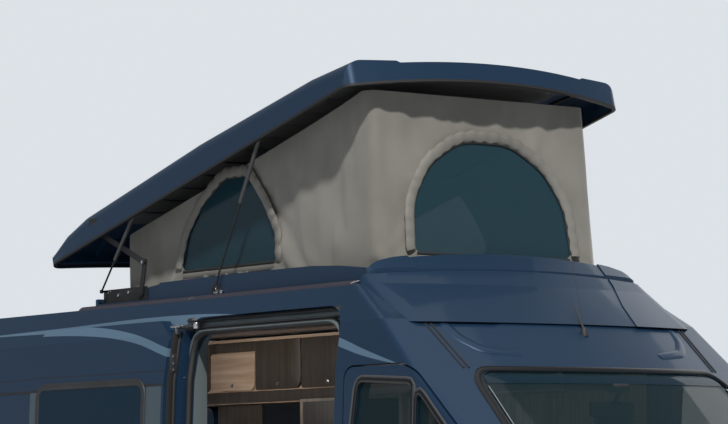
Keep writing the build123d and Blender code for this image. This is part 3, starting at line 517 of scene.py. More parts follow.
def rounded(corners, radii, spacing=0.02, closed=True):
    # a 2D outline with round corners, as evenly spaced points
    count = len(corners)
    radii = radii if hasattr(radii, "__len__") else [radii] * count
    arcSteps = 6
    line = []
    for i, corner in enumerate(corners):
        corner = Vector(corner)
        if not closed and i in (0, count - 1):
            line.append(corner)
            continue
        before = (Vector(corners[i - 1]) - corner).normalized()
        after = (Vector(corners[(i + 1) % count]) - corner).normalized()
        half = before.angle(after) / 2
        reach = radii[i] / math.tan(half)
        start, end = corner + before * reach, corner + after * reach
        for k in range(arcSteps + 1):
            t = k / arcSteps
            line.append(start * (1 - t) ** 2 + corner * 2 * t * (1 - t) + end * t ** 2)
    if closed:
        line.append(line[0])
    lengths = lengthsAlong(line)
    total = lengths[-1]
    steps = max(4, round(total / spacing))
    out, k = [], 0
    for i in range(steps if closed else steps + 1):
        want = total * i / steps
        while k < len(line) - 2 and lengths[k + 1] < want:
            k += 1
        span = max(1e-9, lengths[k + 1] - lengths[k])
        out.append(line[k].lerp(line[k + 1], (want - lengths[k]) / span))
    return out


def box(x0, x1, z0, z1):
    # corners of an upright rectangle, from its lower corner round
    return (x0, z0), (x1, z0), (x1, z1), (x0, z1)


trees = {}


def treeOf(name):
    if name not in trees:
        bm = bmesh.new()
        bm.from_mesh(nodes[name].data)
        trees[name] = BVHTree.FromBMesh(bm)
        bm.free()
    return trees[name]


castFrom = {
    # side: the point far outside from the two coordinates, and the way in
    "right": (lambda a, b: Vector((a, -3, b)), Vector((0, 1, 0))),
    "left": (lambda a, b: Vector((a, 3, b)), Vector((0, -1, 0))),
    "front": (lambda a, b: Vector((5, a, b)), Vector((-1, 0, 0))),
    "rear": (lambda a, b: Vector((-5, a, b)), Vector((1, 0, 0))),
    "top": (lambda a, b: Vector((a, b, 6)), Vector((0, 0, -1))),
}


def onBody(names, side, a, b):
    # where a straight look from that side first meets the named CAD nodes
    start, way = castFrom[side][0](a, b), castFrom[side][1]
    found = [hit for hit in (treeOf(n).ray_cast(start, way) for n in names.split()) if hit[0] is not None]
    if not found:
        return None
    place, normal, _, _ = min(found, key=lambda hit: hit[3])
    return place, (normal if normal.dot(way) < 0 else -normal)


def facing(at, out):
    # place whose Z axis points out of the surface
    return Matrix.Translation(at) @ out.to_track_quat("Z", "Y").to_matrix().to_4x4()


def railOnBody(bm, names, side, outline, width, height, lift=0.0, corners=8, closed=False):
    hits = [onBody(names, side, a, b) for a, b in outline]
    hits = [hit for hit in hits if hit]
    if len(hits) > 2:
        path = [at + normal * lift for at, normal in hits]
        normals = [normal for _, normal in hits]
        addRail(bm, path, width, height, corners, normals, closed and len(path) == len(outline))


def offsetLine(points, out):
    # a closed outline moved outwards in its own plane
    count = len(points)
    area = sum(points[i - 1][0] * points[i][1] - points[i][0] * points[i - 1][1] for i in range(count))
    moved = []
    for i, point in enumerate(points):
        way = (Vector(points[(i + 1) % count]) - Vector(points[i - 1])).normalized()
        moved.append(Vector(point) + Vector((way.y, -way.x)) * math.copysign(out, area))
    return moved


def straight(start, end, count=24):
    start, end = Vector(start), Vector(end)
    return [start.lerp(end, i / (count - 1)) for i in range(count)]


def trim(name, materialKey, names, side, lines, width, height, lift=0.0, closed=False, corners=8, body="body"):
    # one piece of rails laid along lines on the named CAD nodes
    bm = bmesh.new()
    for line in lines:
        railOnBody(bm, names, side, line, width, height, lift, corners, closed)
    piece(bm, name, materialKey, body)


def bothSides(build):
    for side, way in (("right", -1), ("left", 1)):
        build(side, way)


def sideTrim(name, materialKey, bodyName, nodeNames, lines, *size, **settings):
    # the same trim on each side: {side} in a name is filled in
    for side in ("right", "left"):
        names, body = nodeNames.format(side=side), bodyName.format(side=side)
        trim(f"{name}_{side}", materialKey, names, side, lines, *size, body=body, **settings)


moulding = {"z": 0.86, "size": (0.085, 0.022)}


def mouldingLine(start, end, count):
    return straight((start, moulding["z"]), (end, moulding["z"]), count)


def pullHandle(bm, names, side, out, feet, bar, proud, radius, width, lift):
    # a bar on two feet; out is the way off the panel, with the feet's depth in the panel as its length
    for foot in feet:
        spot = onBody(names, side, *foot)[0]
        addRound(bm, spot - out, spot + out.normalized() * proud, radius, radius - 0.002, 20)
    railOnBody(bm, names, side, bar, width, 0.016, lift, 12)


def clothed(obj, frames, farthest, gravity=1.0, **values):
    # cloth simulation of the piece, in which nothing moves farther than the limit
    rest = [v.co.copy() for v in obj.data.vertices]
    cloth = obj.modifiers.new("cloth", "CLOTH")
    cloth.settings.effector_weights.gravity = gravity
    for key, value in values.items():
        setattr(cloth.settings, key, value)
    cloth.point_cache.frame_start = 1
    cloth.point_cache.frame_end = frames
    for number in range(1, frames + 1):
        scene.frame_set(number)
    shape = obj.evaluated_get(bpy.context.evaluated_depsgraph_get()).to_mesh()
    moved = [v.co.copy() for v in shape.vertices]
    obj.modifiers.clear()
    for vert, before, after in zip(obj.data.vertices, rest, moved):
        step = after - before
        if step.length > farthest:
            step *= farthest / step.length
        vert.co = before + step


# ---- Pop-up tent ----

tent = {
    "half": 0.66, "front": 0.745, "frontTop": 0.64, "rear": -1.54, "base": 2.4785,
    "topAtFront": 3.359, "slope": math.tan(math.radians(14)), "corner": 0.055,
    "cell": 0.026, "rows": 34, "keep": 0.1, "nearWall": 0.004, "nearFront": 0.01, "snap": 0.03,
    "sideArch": (
        (-0.15, 2.6), (-1.01, 2.6), (-0.935, 2.79), (-0.8, 2.93),
        (-0.6, 3.045), (-0.4, 3.045), (-0.25, 2.89), (-0.15, 2.745),
    ),
    "sideRadii": (0.04, 0.04, 0.15, 0.2, 0.15, 0.08, 0.2, 0.1),
    "frontArch": (
        (-0.485, 2.59), (0.485, 2.59), (0.465, 2.84), (0.35, 3.02),
        (0.15, 3.14), (-0.15, 3.14), (-0.35, 3.02), (-0.465, 2.84),
    ),
    "frontRadii": (0.04, 0.04, 0.3, 0.3, 0.3, 0.3, 0.3, 0.3),
    "slack": 0.012, "frames": 22, "farthest": 0.02,
}


def tentTop(x):
    return tent["topAtFront"] - (tent["frontTop"] - x) * tent["slope"]


def frontAt(z):
    share = (z - tent["base"]) / (tent["topAtFront"] - tent["base"])
    return tent["front"] + (tent["frontTop"] - tent["front"]) * share


def insideOutline(point, outline):
    a, b = point
    inside = False
    for (x0, z0), (x1, z1) in zip(outline, outline[1:] + outline[:1]):
        if (z0 > b) != (z1 > b) and a < (x1 - x0) * (b - z0) / (z1 - z0) + x0:
            inside = not inside
    return inside


def nearestOn(point, outline):
    best, gap = None, 9.0
    for start, end in zip(outline, outline[1:] + outline[:1]):
        way = end - start
        t = max(0, min(1, (point - start).dot(way) / max(way.length_squared, 1e-12)))
        place = start + way * t
        if (place - point).length < gap:
            best, gap = place, (place - point).length
    return best, gap


sideWindow = rounded(tent["sideArch"], tent["sideRadii"])
frontWindow = rounded(tent["frontArch"], tent["frontRadii"])


def onSideWall(at):
    return abs(abs(at.y) - tent["half"]) < tent["nearWall"]


def onFrontWall(at):
    return at.x > frontAt(at.z) - tent["nearFront"]


def wrappedGrid(loop):
    # a grid wrapped round the base and drawn up to the shell, with its UV map in metres
    ring = loop + loop[:1]
    lengths = lengthsAlong(ring)
    length = lengths[-1]
    bm = bmesh.new()
    bmesh.ops.create_grid(bm, x_segments=round(length / tent["cell"]), y_segments=tent["rows"], size=0.5)
    uv = bm.loops.layers.uv.new("cloth")
    flat = {}
    for vert in bm.verts:
        want = (vert.co.x + 0.5) * length
        k = max(i for i in range(len(loop)) if lengths[i] <= want + 1e-9)
        foot = ring[k].lerp(ring[k + 1], min(1, (want - lengths[k]) / (lengths[k + 1] - lengths[k])))
        head = tentTop(min(foot.x, tent["frontTop"]))
        z = tent["base"] + (head - tent["base"]) * (vert.co.y + 0.5)
        lean = max(0, (foot.x - tent["rear"]) / (tent["front"] - tent["rear"])) ** 6
        vert.co = (foot.x - (tent["front"] - frontAt(z)) * lean, foot.y, z)
        flat[vert] = (want, z)
    for face in bm.faces:
        for corner in face.loops:
            corner[uv].uv = flat[corner.vert]
    bmesh.ops.remove_doubles(bm, verts=bm.verts, dist=0.0005)
    return bm, length


def cutWindows(bm):
    gone = []
    for face in bm.faces:
        middle = face.calc_center_median()
        onSide = onSideWall(middle) and insideOutline((middle.x, middle.z), sideWindow)
        onFront = onFrontWall(middle) and insideOutline((middle.y, middle.z), frontWindow)
        if onSide or onFront:
            gone.append(face)
    bmesh.ops.delete(bm, geom=gone, context="FACES")


def snapEdges(bm):
    # the edges of the cut follow the arches; returns the vertices that are held
    held = set()
    for edge in bm.edges:
        if not edge.is_boundary:
            continue
        for vert in edge.verts:
            held.add(vert)
            at = vert.co
            if abs(at.z - tent["base"]) < 0.01 or vert.tag:
                continue
            if onSideWall(at):
                spot, gap = nearestOn(Vector((at.x, at.z)), sideWindow)
                if gap < tent["snap"]:
                    at.x, at.z = spot
            elif onFrontWall(at):
                spot, gap = nearestOn(Vector((at.y, at.z)), frontWindow)
                if gap < tent["snap"]:
                    at.y, at.z = spot
                    at.x = frontAt(at.z)
            vert.tag = True
    return held


def buildTent():
    # walls as one sheet, cut a little too long, so that it sags between the edges that hold it
    low, high = (tent["rear"], -tent["half"]), (tent["front"], tent["half"])
    plan = rounded(((high[0], low[1]), high, (low[0], high[1]), low), tent["corner"], spacing=0.012)
    bm, length = wrappedGrid(plan)
    cutWindows(bm)
    held = snapEdges(bm)
    bm.verts.index_update()
    heldIndexes = [v.index for v in held]
    area = sum(f.calc_area() for f in bm.faces)
    mesh = meshOf(bm, "tentCloth")
    mesh.materials.append(materials["tentFabric"])
    mesh.shade_smooth()
    obj = linked(mesh)
    obj.vertex_groups.new(name="held").add(heldIndexes, 1.0, "REPLACE")
    clothed(
        obj, tent["frames"], tent["farthest"], quality=6, mass=0.35, tension_stiffness=30,
        compression_stiffness=8, bending_stiffness=1.2, vertex_group_mass="held", shrink_min=-tent["slack"],
    )
    obj.vertex_groups.clear()
    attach(obj, "body")
    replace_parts(obj, "tent_fabric")
    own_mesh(obj)


def tentPiece(bm, name, materialKey):
    made = piece(bm, name, materialKey)
    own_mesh(made)
    return made


def tentWindow(name, outline, place):
    # clear film in an arch, the rolled cover round it, its zip and its hem; place(a, z, out) is on the wall
    def tape(bm, points, width, height, corners=6):
        out = place(0, 0, 1) - place(0, 0, 0)
        addRail(bm, points, width, height, corners, [out] * len(points))

    bm = bmesh.new()
    face = bm.faces.new([bm.verts.new(place(a, z, -0.004)) for a, z in outline])
    bmesh.ops.triangulate(bm, faces=[face])
    inner = [e for e in bm.edges if not e.is_boundary]
    bmesh.ops.subdivide_edges(bm, edges=inner, cuts=3, use_grid_fill=True)
    bmesh.ops.solidify(bm, geom=bm.faces, thickness=0.0008)
    film = tentPiece(bm, name, "skyTintedFilm")
    bottom = min(z for _, z in outline)
    footHeight = bottom + 0.012
    arch = [(a, z) for a, z in outline if z > footHeight]
    first = max(range(len(arch)), key=lambda i: (Vector(arch[i]) - Vector(arch[i - 1])).length)
    arch = arch[first:] + arch[:first]
    middle = Vector((sum(a for a, _ in arch) / len(arch), bottom + 0.25))
    path = []
    for i, (a, z) in enumerate(arch):
        away = (Vector((a, z)) - middle).normalized()
        pucker = 0.0035 * math.sin(i * 1.9) + 0.002 * math.sin(i * 4.3 + 1)
        spot = Vector((a, z)) + away * (0.028 + pucker)
        path.append(place(spot.x, spot.y, 0.007 + pucker))
    bm = bmesh.new()
    tape(bm, path, 0.052, 0.02, 10)
    tentPiece(bm, name + "Roll", "tentBinding")
    wide = [a for a, z in outline if z < footHeight]
    foot = straight((min(wide), bottom - 0.004), (max(wide), bottom - 0.004), 13)
    bm = bmesh.new()
    tape(bm, [place(a, z, 0.002) for a, z in arch], 0.012, 0.005)
    tape(bm, [place(a, z, 0.003) for a, z in foot], 0.012, 0.005)
    tentPiece(bm, name + "Zip", "zipTape")
    bm = bmesh.new()
    for drop in (0.022, 0.052):
        tape(bm, [place(a, z - drop, 0.002) for a, z in foot], 0.024, 0.005)
    tentPiece(bm, name + "Hem", "tentBinding")
    return film


buildTent()
rightFilm = tentWindow("filmRight", sideWindow, lambda a, z, out: Vector((a, -tent["half"] - out, z)))
tentWindow("filmLeft", sideWindow, lambda a, z, out: Vector((a, tent["half"] + out, z)))
tentWindow("filmFront", frontWindow, lambda a, z, out: Vector((frontAt(z) + out, a, z)))
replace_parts(rightFilm, "tent_windows")
print("tent done")

# ---- Windscreen and roof front ----

screen = {
    "corners": ((-0.85, 1.318), (0.85, 1.318), (0.73, 2.003), (-0.73, 2.003)), "radii": (0.09, 0.09, 0.11, 0.11),
    "round": "windscreen_frame windscreen front_wings side_panel_right side_panel_left floor_pan",
    # start and end of each wiper blade, and its pivot
    "blades": (((-0.74, 1.375), (-0.06, 1.40), (0.10, 1.315)), ((0.0, 1.375), (0.70, 1.415), (0.78, 1.33))),
}


def buildScreenTrim():
    outline = rounded(screen["corners"], screen["radii"])
    trim("screenRubber", "frit", screen["round"], "front", [offsetLine(outline, 0.012)], 0.036, 0.014, closed=True)
    edges = [straight((side * 0.815, 1.42), (side * 0.715, 1.93)) for side in (-1, 1)]
    trim("screenEdge", "chrome", "windscreen", "front", edges, 0.006, 0.006, 0.004)
    bm = bmesh.new()
    around = screen["round"] + " bonnet"
    for start, end, pivot in screen["blades"]:
        middle = Vector(start).lerp(Vector(end), 0.5)
        for names, line, width, height, lift in (
            ("windscreen", straight(start, end), 0.011, 0.018, 0.012),
            ("windscreen", straight(start, end, 9)[1:8], 0.016, 0.008, 0.026),
            (around, straight(pivot, middle, 12), 0.02, 0.012, 0.034),
        ):
            railOnBody(bm, names, "front", line, width, height, lift)
        at, out = onBody(around, "front", *pivot)
        roundAt(bm, at, out * -0.01, out * 0.045, 0.016, 0.012, 20, 0.002)
    piece(bm, "wipers", "darkPlastic")
    band = straight((-0.70, 1.967), (0.70, 1.967), 30)
    trim("screenBand", "sunBand", "windscreen", "front", [band], 0.062, 0.002, 0.001)
    # inner mirror on the glass, with its foot
    bm = bmesh.new()
    foot = onBody("windscreen", "front", 0.0, 1.93)[0] - Vector((0.012, 0, 0))
    blockAt(bm, foot, (-0.09, -0.13, -0.13), (-0.06, 0.13, -0.06), 0.012)
    roundAt(bm, foot, (0, 0, 0), (-0.075, 0, -0.085), 0.012, 0.009)
    blockAt(bm, foot, (-0.05, -0.05, -0.02), (0.0, 0.05, 0.02), 0.008)
    piece(bm, "innerMirror", "darkPlastic")


def buildRoofFront():
    # seam under the cap, the twin gutter lines, the ribs beside the recess and the aerial
    bm = bmesh.new()
    seam = [Vector((y / 20, 2.246 + 0.024 * (y / 20) ** 2)) for y in range(-15, 16)]
    railOnBody(bm, "windscreen_frame", "front", seam, 0.012, 0.006)
    for side in (-1, 1):
        for shift in (0.0, 0.026):
            line = straight((side * (0.755 + shift), 2.262), (side * (0.735 + shift), 2.018), 20)
            names = "windscreen_frame side_panel_right side_panel_left"
            railOnBody(bm, names, "front", line, 0.009, 0.007, 0.001)
    piece(bm, "roofFrontSeams", "sealRubber")
    bm = bmesh.new()
    for side in (-1, 1):
        corners = [(side * y, z) for y, z in ((0.69, 2.24), (0.67, 2.16), (0.60, 2.105), (0.42, 2.085))]
        line = rounded(corners, (0, 0.06, 0.08, 0), 0.02, False)
        path, normals = [], []
        for i, (y, z) in enumerate(line):
            at, out = onBody("windscreen_frame", "front", y, z)
            fade = math.sin(math.pi * min(1, (i + 2) / (len(line) + 3))) ** 0.5
            path.append(at + out * (0.0095 * fade - 0.0105))
            normals.append(out)
        addRail(bm, path, 0.055, 0.018, 12, normals)
    piece(bm, "roofFrontRibs", "roofPaint", sharp=60)
    bm = bmesh.new()
    foot = onBody("windscreen_frame", "front", 0.037, 2.185)[0]
    roundAt(bm, foot, (-0.004, 0, -0.01), (-0.008, 0, 0.035), 0.02, 0.011, 24, 0.003)
    roundAt(bm, foot, (-0.006, 0, 0.02), (-0.072, 0, 0.145), 0.0045, 0.003, 12)
    roundAt(bm, foot, (-0.006, 0, 0.03), (-0.09, 0, 0.375), 0.0013, 0.001, 8)
    piece(bm, "aerial", "darkPlastic")


buildScreenTrim()
buildRoofFront()
print("windscreen done")

# ---- Cab doors ----

cabDoor = {
    "window": ((0.925, 1.24), (0.925, 1.72), (0.962, 1.972), (1.365, 1.95), (1.365, 1.24)),
    "windowRadii": (0.045, 0.2, 0.045, 0.03, 0.03),
    "quarter": ((1.4, 1.275), (1.4, 1.927), (1.985, 1.4), (2.0, 1.275)),
    "quarterRadii": (0.03, 0.025, 0.06, 0.045),
    "handle": (0.98, 1.165),
}


def buildCabDoors():
    body, door = "{side}_cab_door", "cab_door_{side}"
    window = offsetLine(rounded(cabDoor["window"], cabDoor["windowRadii"]), 0.007)
    quarter = offsetLine(rounded(cabDoor["quarter"], cabDoor["quarterRadii"]), 0.007)
    rims = [offsetLine(window, 0.017), offsetLine(quarter, 0.017)]
    post = straight((1.383, 1.25), (1.383, 1.94))
    for name, key, names, lines, width, height, closed in (
        ("cabWindowRubber", "frit", door + " cab_window_{side}", [window, quarter], 0.022, 0.012, True),
        ("cabWindowRim", "windowRubber", door, rims, 0.012, 0.01, True),
        ("cabWindowPost", "windowRubber", door, [post], 0.022, 0.01, False),
    ):
        sideTrim(name, key, body, names, lines, width, height, closed=closed)

    def handle(side, way):
        x, z = cabDoor["handle"]
        names, body = f"cab_door_{side}", f"{side}_cab_door"
        bar = [Vector((x - 0.02 + 0.012 * i, z)) for i in range(21)]
        bm = bmesh.new()
        out = Vector((0, way * 0.006, 0))
        pullHandle(bm, names, side, out, ((x, z), (x + 0.2, z)), bar, 0.032, 0.014, 0.032, 0.036)
        piece(bm, f"cabHandle_{side}", "darkPlastic", body)
        bm = bmesh.new()
        spot = onBody(names, side, x - 0.055, z)[0]
        roundAt(bm, spot, (0, -way * 0.004, 0), (0, way * 0.006, 0), 0.013, 0.012, 24, 0.001)
        piece(bm, f"cabLock_{side}", "brightSteel", body)
    bothSides(handle)
    sideTrim("cabMoulding", "darkPlastic", body, door, [mouldingLine(0.88, 1.72, 30)], *moulding["size"], corners=12)


def buildMirrors():
    # mirror glass and lamp on each side mirror
    def build(side, way):
        low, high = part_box(f"mirror_{side}")
        middle = (low.y + high.y) / 2 + way * 0.03
        bm = bmesh.new()
        for z0, z1 in ((1.36, 1.53), (1.25, 1.34)):
            addBlock(bm, (low.x - 0.004, middle - 0.062, z0), (low.x + 0.004, middle + 0.062, z1), 0.003)
        piece(bm, f"mirrorGlass_{side}", "chrome", f"{side}_cab_door")
        bm = bmesh.new()
        addBlock(bm, (high.x - 0.03, middle - 0.05, 1.40), (high.x + 0.002, middle + 0.05, 1.42))
        piece(bm, f"mirrorLamp_{side}", "amberLens", f"{side}_cab_door")
    bothSides(build)


buildCabDoors()
buildMirrors()
print("cab doors done")

# ---- Side doorway and sliding door ----

doorway = {
    "clear": box(0.745, -0.5, 0.55, 2.25), "clearRadii": (0.04, 0.04, 0.11, 0.11),
    "edge": -0.5575, "window": box(-1.767, -0.752, 1.45, 2.01),
}


def windowFrame(name, names, pane, side, outline):
    bm = bmesh.new()
    railOnBody(bm, names, side, offsetLine(outline, 0.012), 0.034, 0.016, 0.002, 10, True)
    railOnBody(bm, pane, side, offsetLine(outline, -0.04), 0.008, 0.005, 0.001, 8, True)
    piece(bm, name, "darkPlastic")


def buildDoorway():
    panel = "side_panel_right"
    outline = rounded(doorway["clear"], doorway["clearRadii"])
    trim("doorwaySeal", "sealRubber", panel, "right", [offsetLine(outline, 0.006)], 0.03, 0.034, 0.01, True, 12)
    path, normals = [], []
    inner = offsetLine(outline, -0.013)
    for i, spot in enumerate(inner):
        way = (Vector(inner[(i + 1) % len(inner)]) - Vector(inner[i - 1])).normalized()
        wall = onBody(panel, "right", *(spot + Vector((way.y, -way.x)) * 0.027))
        path.append(Vector((spot.x, (wall[0].y if wall else -0.95) + 0.066, spot.y)))
        normals.append(Vector((way.y, 0, -way.x)))
    bm = bmesh.new()
    addRail(bm, path, 0.1, 0.012, 8, normals, True)
    piece(bm, "doorwayReveal", "greyReveal")
    # header with the upper track: dark and grey lines one above the other; the top dark line is painted shadow in the
    # gap over the track, and the thin pale line is a painted highlight
    for name, key, rows in (
        # upper dark rail: painted shadow in the gap; lower dark rail: a dark line between the grey bands
        ("headerShadowAndDark", "darkPlastic", ((2.318, 0.016, 0.02, 0.004), (2.2745, 0.012, 0.03, 0.006))),
        ("headerGrey", "greyReveal", ((2.296, 0.022, 0.012, 0.002), (2.264, 0.008, 0.02, 0.002))),
        # thin pale rail: painted highlight on the track's edge
        ("headerHighlight", "windowRubber", ((2.3095, 0.004, 0.03, 0.006),)),
    ):
        bm = bmesh.new()
        for z, width, height, lift in rows:
            line = straight((-0.52, z), (0.74, z), 40)
            railOnBody(bm, panel, "right", line, width, height, lift)
        piece(bm, name, key)


def buildDoorEdge():
    # seals, latch and rollers on the front edge of the sliding door
    edge = doorway["edge"]
    hits = [onBody("sliding_door", "right", edge - 0.03, 0.46 + 0.06 * i) for i in range(31)]
    bm = bmesh.new()
    for x, y, width, height, corners in ((0.001, 0.034, 0.034, 0.006, 8), (-0.004, 0.062, 0.02, 0.02, 10)):
        path = [Vector((edge + x, hit[0].y + y, hit[0].z)) for hit in hits if hit]
        addRail(bm, path, width, height, corners, [Vector((1, 0, 0))] * len(path))
    piece(bm, "slidingDoorEdge", "sealRubber")
    at = Vector((edge, 0, 0))
    bm = bmesh.new()
    blockAt(bm, at, (-0.002, -1.022, 2.06), (0.007, -0.985, 2.155), 0.003)
    blockAt(bm, at, (-0.02, -1.0, 1.05), (0.009, -1.045, 1.25))
    roundAt(bm, at, (0, -0.965, 2.285), (0.1, -0.915, 2.29), 0.009)
    piece(bm, "slidingDoorLatch", "darkPlastic")
    bm = bmesh.new()
    for z in (2.075, 2.105, 2.14):
        roundAt(bm, at, (0.004, -1.004, z), (0.012, -1.004, z), 0.008, 0.006, 16, 0.001)
    hook = ((0.004, -0.962, 2.045), (0.014, -0.952, 2.036), (0.016, -0.94, 2.036), (0.004, -0.93, 2.048))
    for points, width in ((hook, 0.008), (((0.006, -0.945, 2.16), (0.008, -0.948, 2.22)), 0.007)):
        addRail(bm, [at + Vector(p) for p in points], width)
    roundAt(bm, at, (0.1, -0.93, 2.275), (0.1, -0.93, 2.305), 0.016, None, 24, 0.002)
    blockAt(bm, at, (-0.03, -1.0, 2.283), (0.05, -0.965, 2.293), 0.002)
    blockAt(bm, at, (-0.002, -0.99, 2.25), (0.008, -0.965, 2.30), 0.002)
    piece(bm, "slidingDoorRollers", "brightSteel")


def buildSlidingDoor():
    door, pane = "sliding_door", "sliding_door_window"
    windowFrame("slidingWindowFrame", f"{door} {pane}", pane, "right", rounded(doorway["window"], 0.06))
    bm = bmesh.new()
    for x, width in ((-1.825, 0.07), (-0.648, 0.14)):
        railOnBody(bm, door, "right", straight((x, 1.995), (x, 1.40), 24), width, 0.005, 0.001)
    piece(bm, "slidingWindowBand", "bandPaint")
    # two dark lines along the side's creases: painted shade in the creases
    bm = bmesh.new()
    for names, start, end in ((door, -1.868, -0.563), ("side_panel_right", -2.9, -1.885)):
        for z, width, height, lift in ((2.002, 0.011, 0.005, 0.001), (2.07, 0.004, 0.002, 0.0)):
            railOnBody(bm, names, "right", straight((start, z), (end, z), 40), width, height, lift)
    piece(bm, "sideCreaseShade", "sealRubber")
    bm = bmesh.new()
    x, z = -0.72, 1.16
    bar = [Vector((x + 0.02 - 0.0115 * i, z)) for i in range(21)]
    feet = ((x, z), (x - 0.19, z))
    pullHandle(bm, door, "right", Vector((0, -0.006, 0)), feet, bar, 0.032, 0.014, 0.032, 0.036)
    railOnBody(bm, door, "right", mouldingLine(-1.85, -0.58, 40), *moulding["size"], corners=12)
    piece(bm, "slidingDoorHandle", "darkPlastic")


buildDoorway()
buildDoorEdge()
buildSlidingDoor()
print("sliding door done")

# ---- Roof ditch, tray and pop-up gear ----

ditch = {"from": -1.66, "to": 0.8, "points": 60, "nicks": (-0.59, 0.78), "feet": -0.479}


def buildDitch():
    def build(side, way):
        names = f"side_panel_{side} roof_panel roof_tray"
        line = straight((ditch["from"], way * 0.868), (ditch["to"], way * 0.868), ditch["points"])
        hits = [onBody(names, "top", *spot) for spot in line]
        path = [hit[0] + Vector((0, way * 0.003, 0.006)) for hit in hits if hit]
        bm = bmesh.new()
        addRail(bm, path, 0.036, 0.01, 8, [Vector((0, way * 0.64, 0.77))] * len(path))
        piece(bm, f"ditchSeal_{side}", "ditchSeal")
        bm = bmesh.new()
        for x in ditch["nicks"]:
            at = onBody(names, "top", x, way * 0.874)[0]
            clip = ((-0.012, way * 0.006, 0.004), (0.002, 0, 0.009), (0.03, -way * 0.012, 0.014))
            addRail(bm, [at + Vector(p) for p in clip], 0.009, 0.005)
        piece(bm, f"ditchClips_{side}", "chrome")
        bm = bmesh.new()
        at = Vector((ditch["feet"], way * 0.8, 0))
        roundAt(bm, at, (0, 0, 2.47), (0, way * 0.012, 2.47), 0.013, None, 20, 0.002)
        roundAt(bm, at, (0.002, way * 0.006, 2.474), (0.016, way * 0.006, 2.5), 0.008, 0.006, 16, 0.001)
        blockAt(bm, at, (-0.018, -0.004, 2.452), (0.018, 0.006, 2.468), 0.002)
        roundAt(bm, at, (0.055, way * 0.001, 2.458), (0.055, way * 0.009, 2.458), 0.011, None, 18, 0.002)
        piece(bm, f"strutFeet_{side}", "chrome")
    bothSides(build)


def buildGearBolts():
    def bolt(bm, x, z, y0, y1, radius):
        addRound(bm, (x, y0, z), (x, y1, z), radius, None, 16, 0.001)

    def build(side, way):
        bm = bmesh.new()
        for x, z in ((-1.546, 2.522), (-1.35, 2.51), (-1.45, 2.5)):
            bolt(bm, x, z, way * 0.765, way * 0.771, 0.008)
        piece(bm, f"gearBolts_{side}", "chrome")
        bm = bmesh.new()
        bolt(bm, -1.181, 2.657, way * 0.787, way * 0.794, 0.009)
        piece(bm, f"linkBolts_{side}", "chrome", "roof_arms")
    bothSides(build)


buildDitch()
buildGearBolts()
print("roof gear done")

# ---- Seats and mattress ----

pads = {
    "voxel": 0.01, "wideVoxel": 0.018, "pressure": 4.0, "frames": 18, "farthest": 0.014,
    "seamDepth": 0.008, "seamWidth": 0.011, "fill": 0.7,
}


def puffed(obj, voxel):
    # a slightly small block, remeshed and blown up like a filled cover
    remesh = obj.modifiers.new("remesh", "REMESH")
    remesh.mode = "VOXEL"
    remesh.voxel_size = voxel
    mesh = bpy.data.meshes.new_from_object(obj.evaluated_get(bpy.context.evaluated_depsgraph_get()))
    obj.modifiers.clear()
    obj.data = mesh
    clothed(
        obj, pads["frames"], pads["farthest"], gravity=0, quality=5, mass=0.3,
        use_pressure=True, uniform_pressure_force=pads["pressure"],
    )


def pad(name, outline, low, high, seams, copies, materialKey="upholstery", voxel=pads["voxel"], bevel=0.03):
    # side outline (x, z) from y low to y high; seams are (axis, place) of the sewn channels
    bm = bmesh.new()
    addPlate(bm, [(x, low, z) for x, z in outline], (0, high - low, 0))
    bevelled(bm, list(bm.edges), bevel, 3)
    bmesh.ops.recalc_face_normals(bm, faces=bm.faces)
    obj = linked(meshOf(bm, name))
    puffed(obj, voxel)
    for vert, normal in zip(obj.data.vertices, [v.normal.copy() for v in obj.data.vertices]):
        dips = [math.exp(-((vert.co[axis] - place) / pads["seamWidth"]) ** 2) for axis, place in seams]
        vert.co -= normal * pads["seamDepth"] * max(dips)
    for i, shift in enumerate(copies):
        copy = obj if i == len(copies) - 1 else linked(obj.data.copy())
        copy.name = f"{name}{i + 1}"
        copy.data.transform(Matrix.Translation(Vector(shift)))
        copy.data.materials.clear()
        copy.data.materials.append(materials[materialKey])
        copy.data.shade_smooth()
        smooth = copy.modifiers.new("smooth", "SUBSURF")
        smooth.levels = smooth.render_levels = 1
        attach(copy, "body")


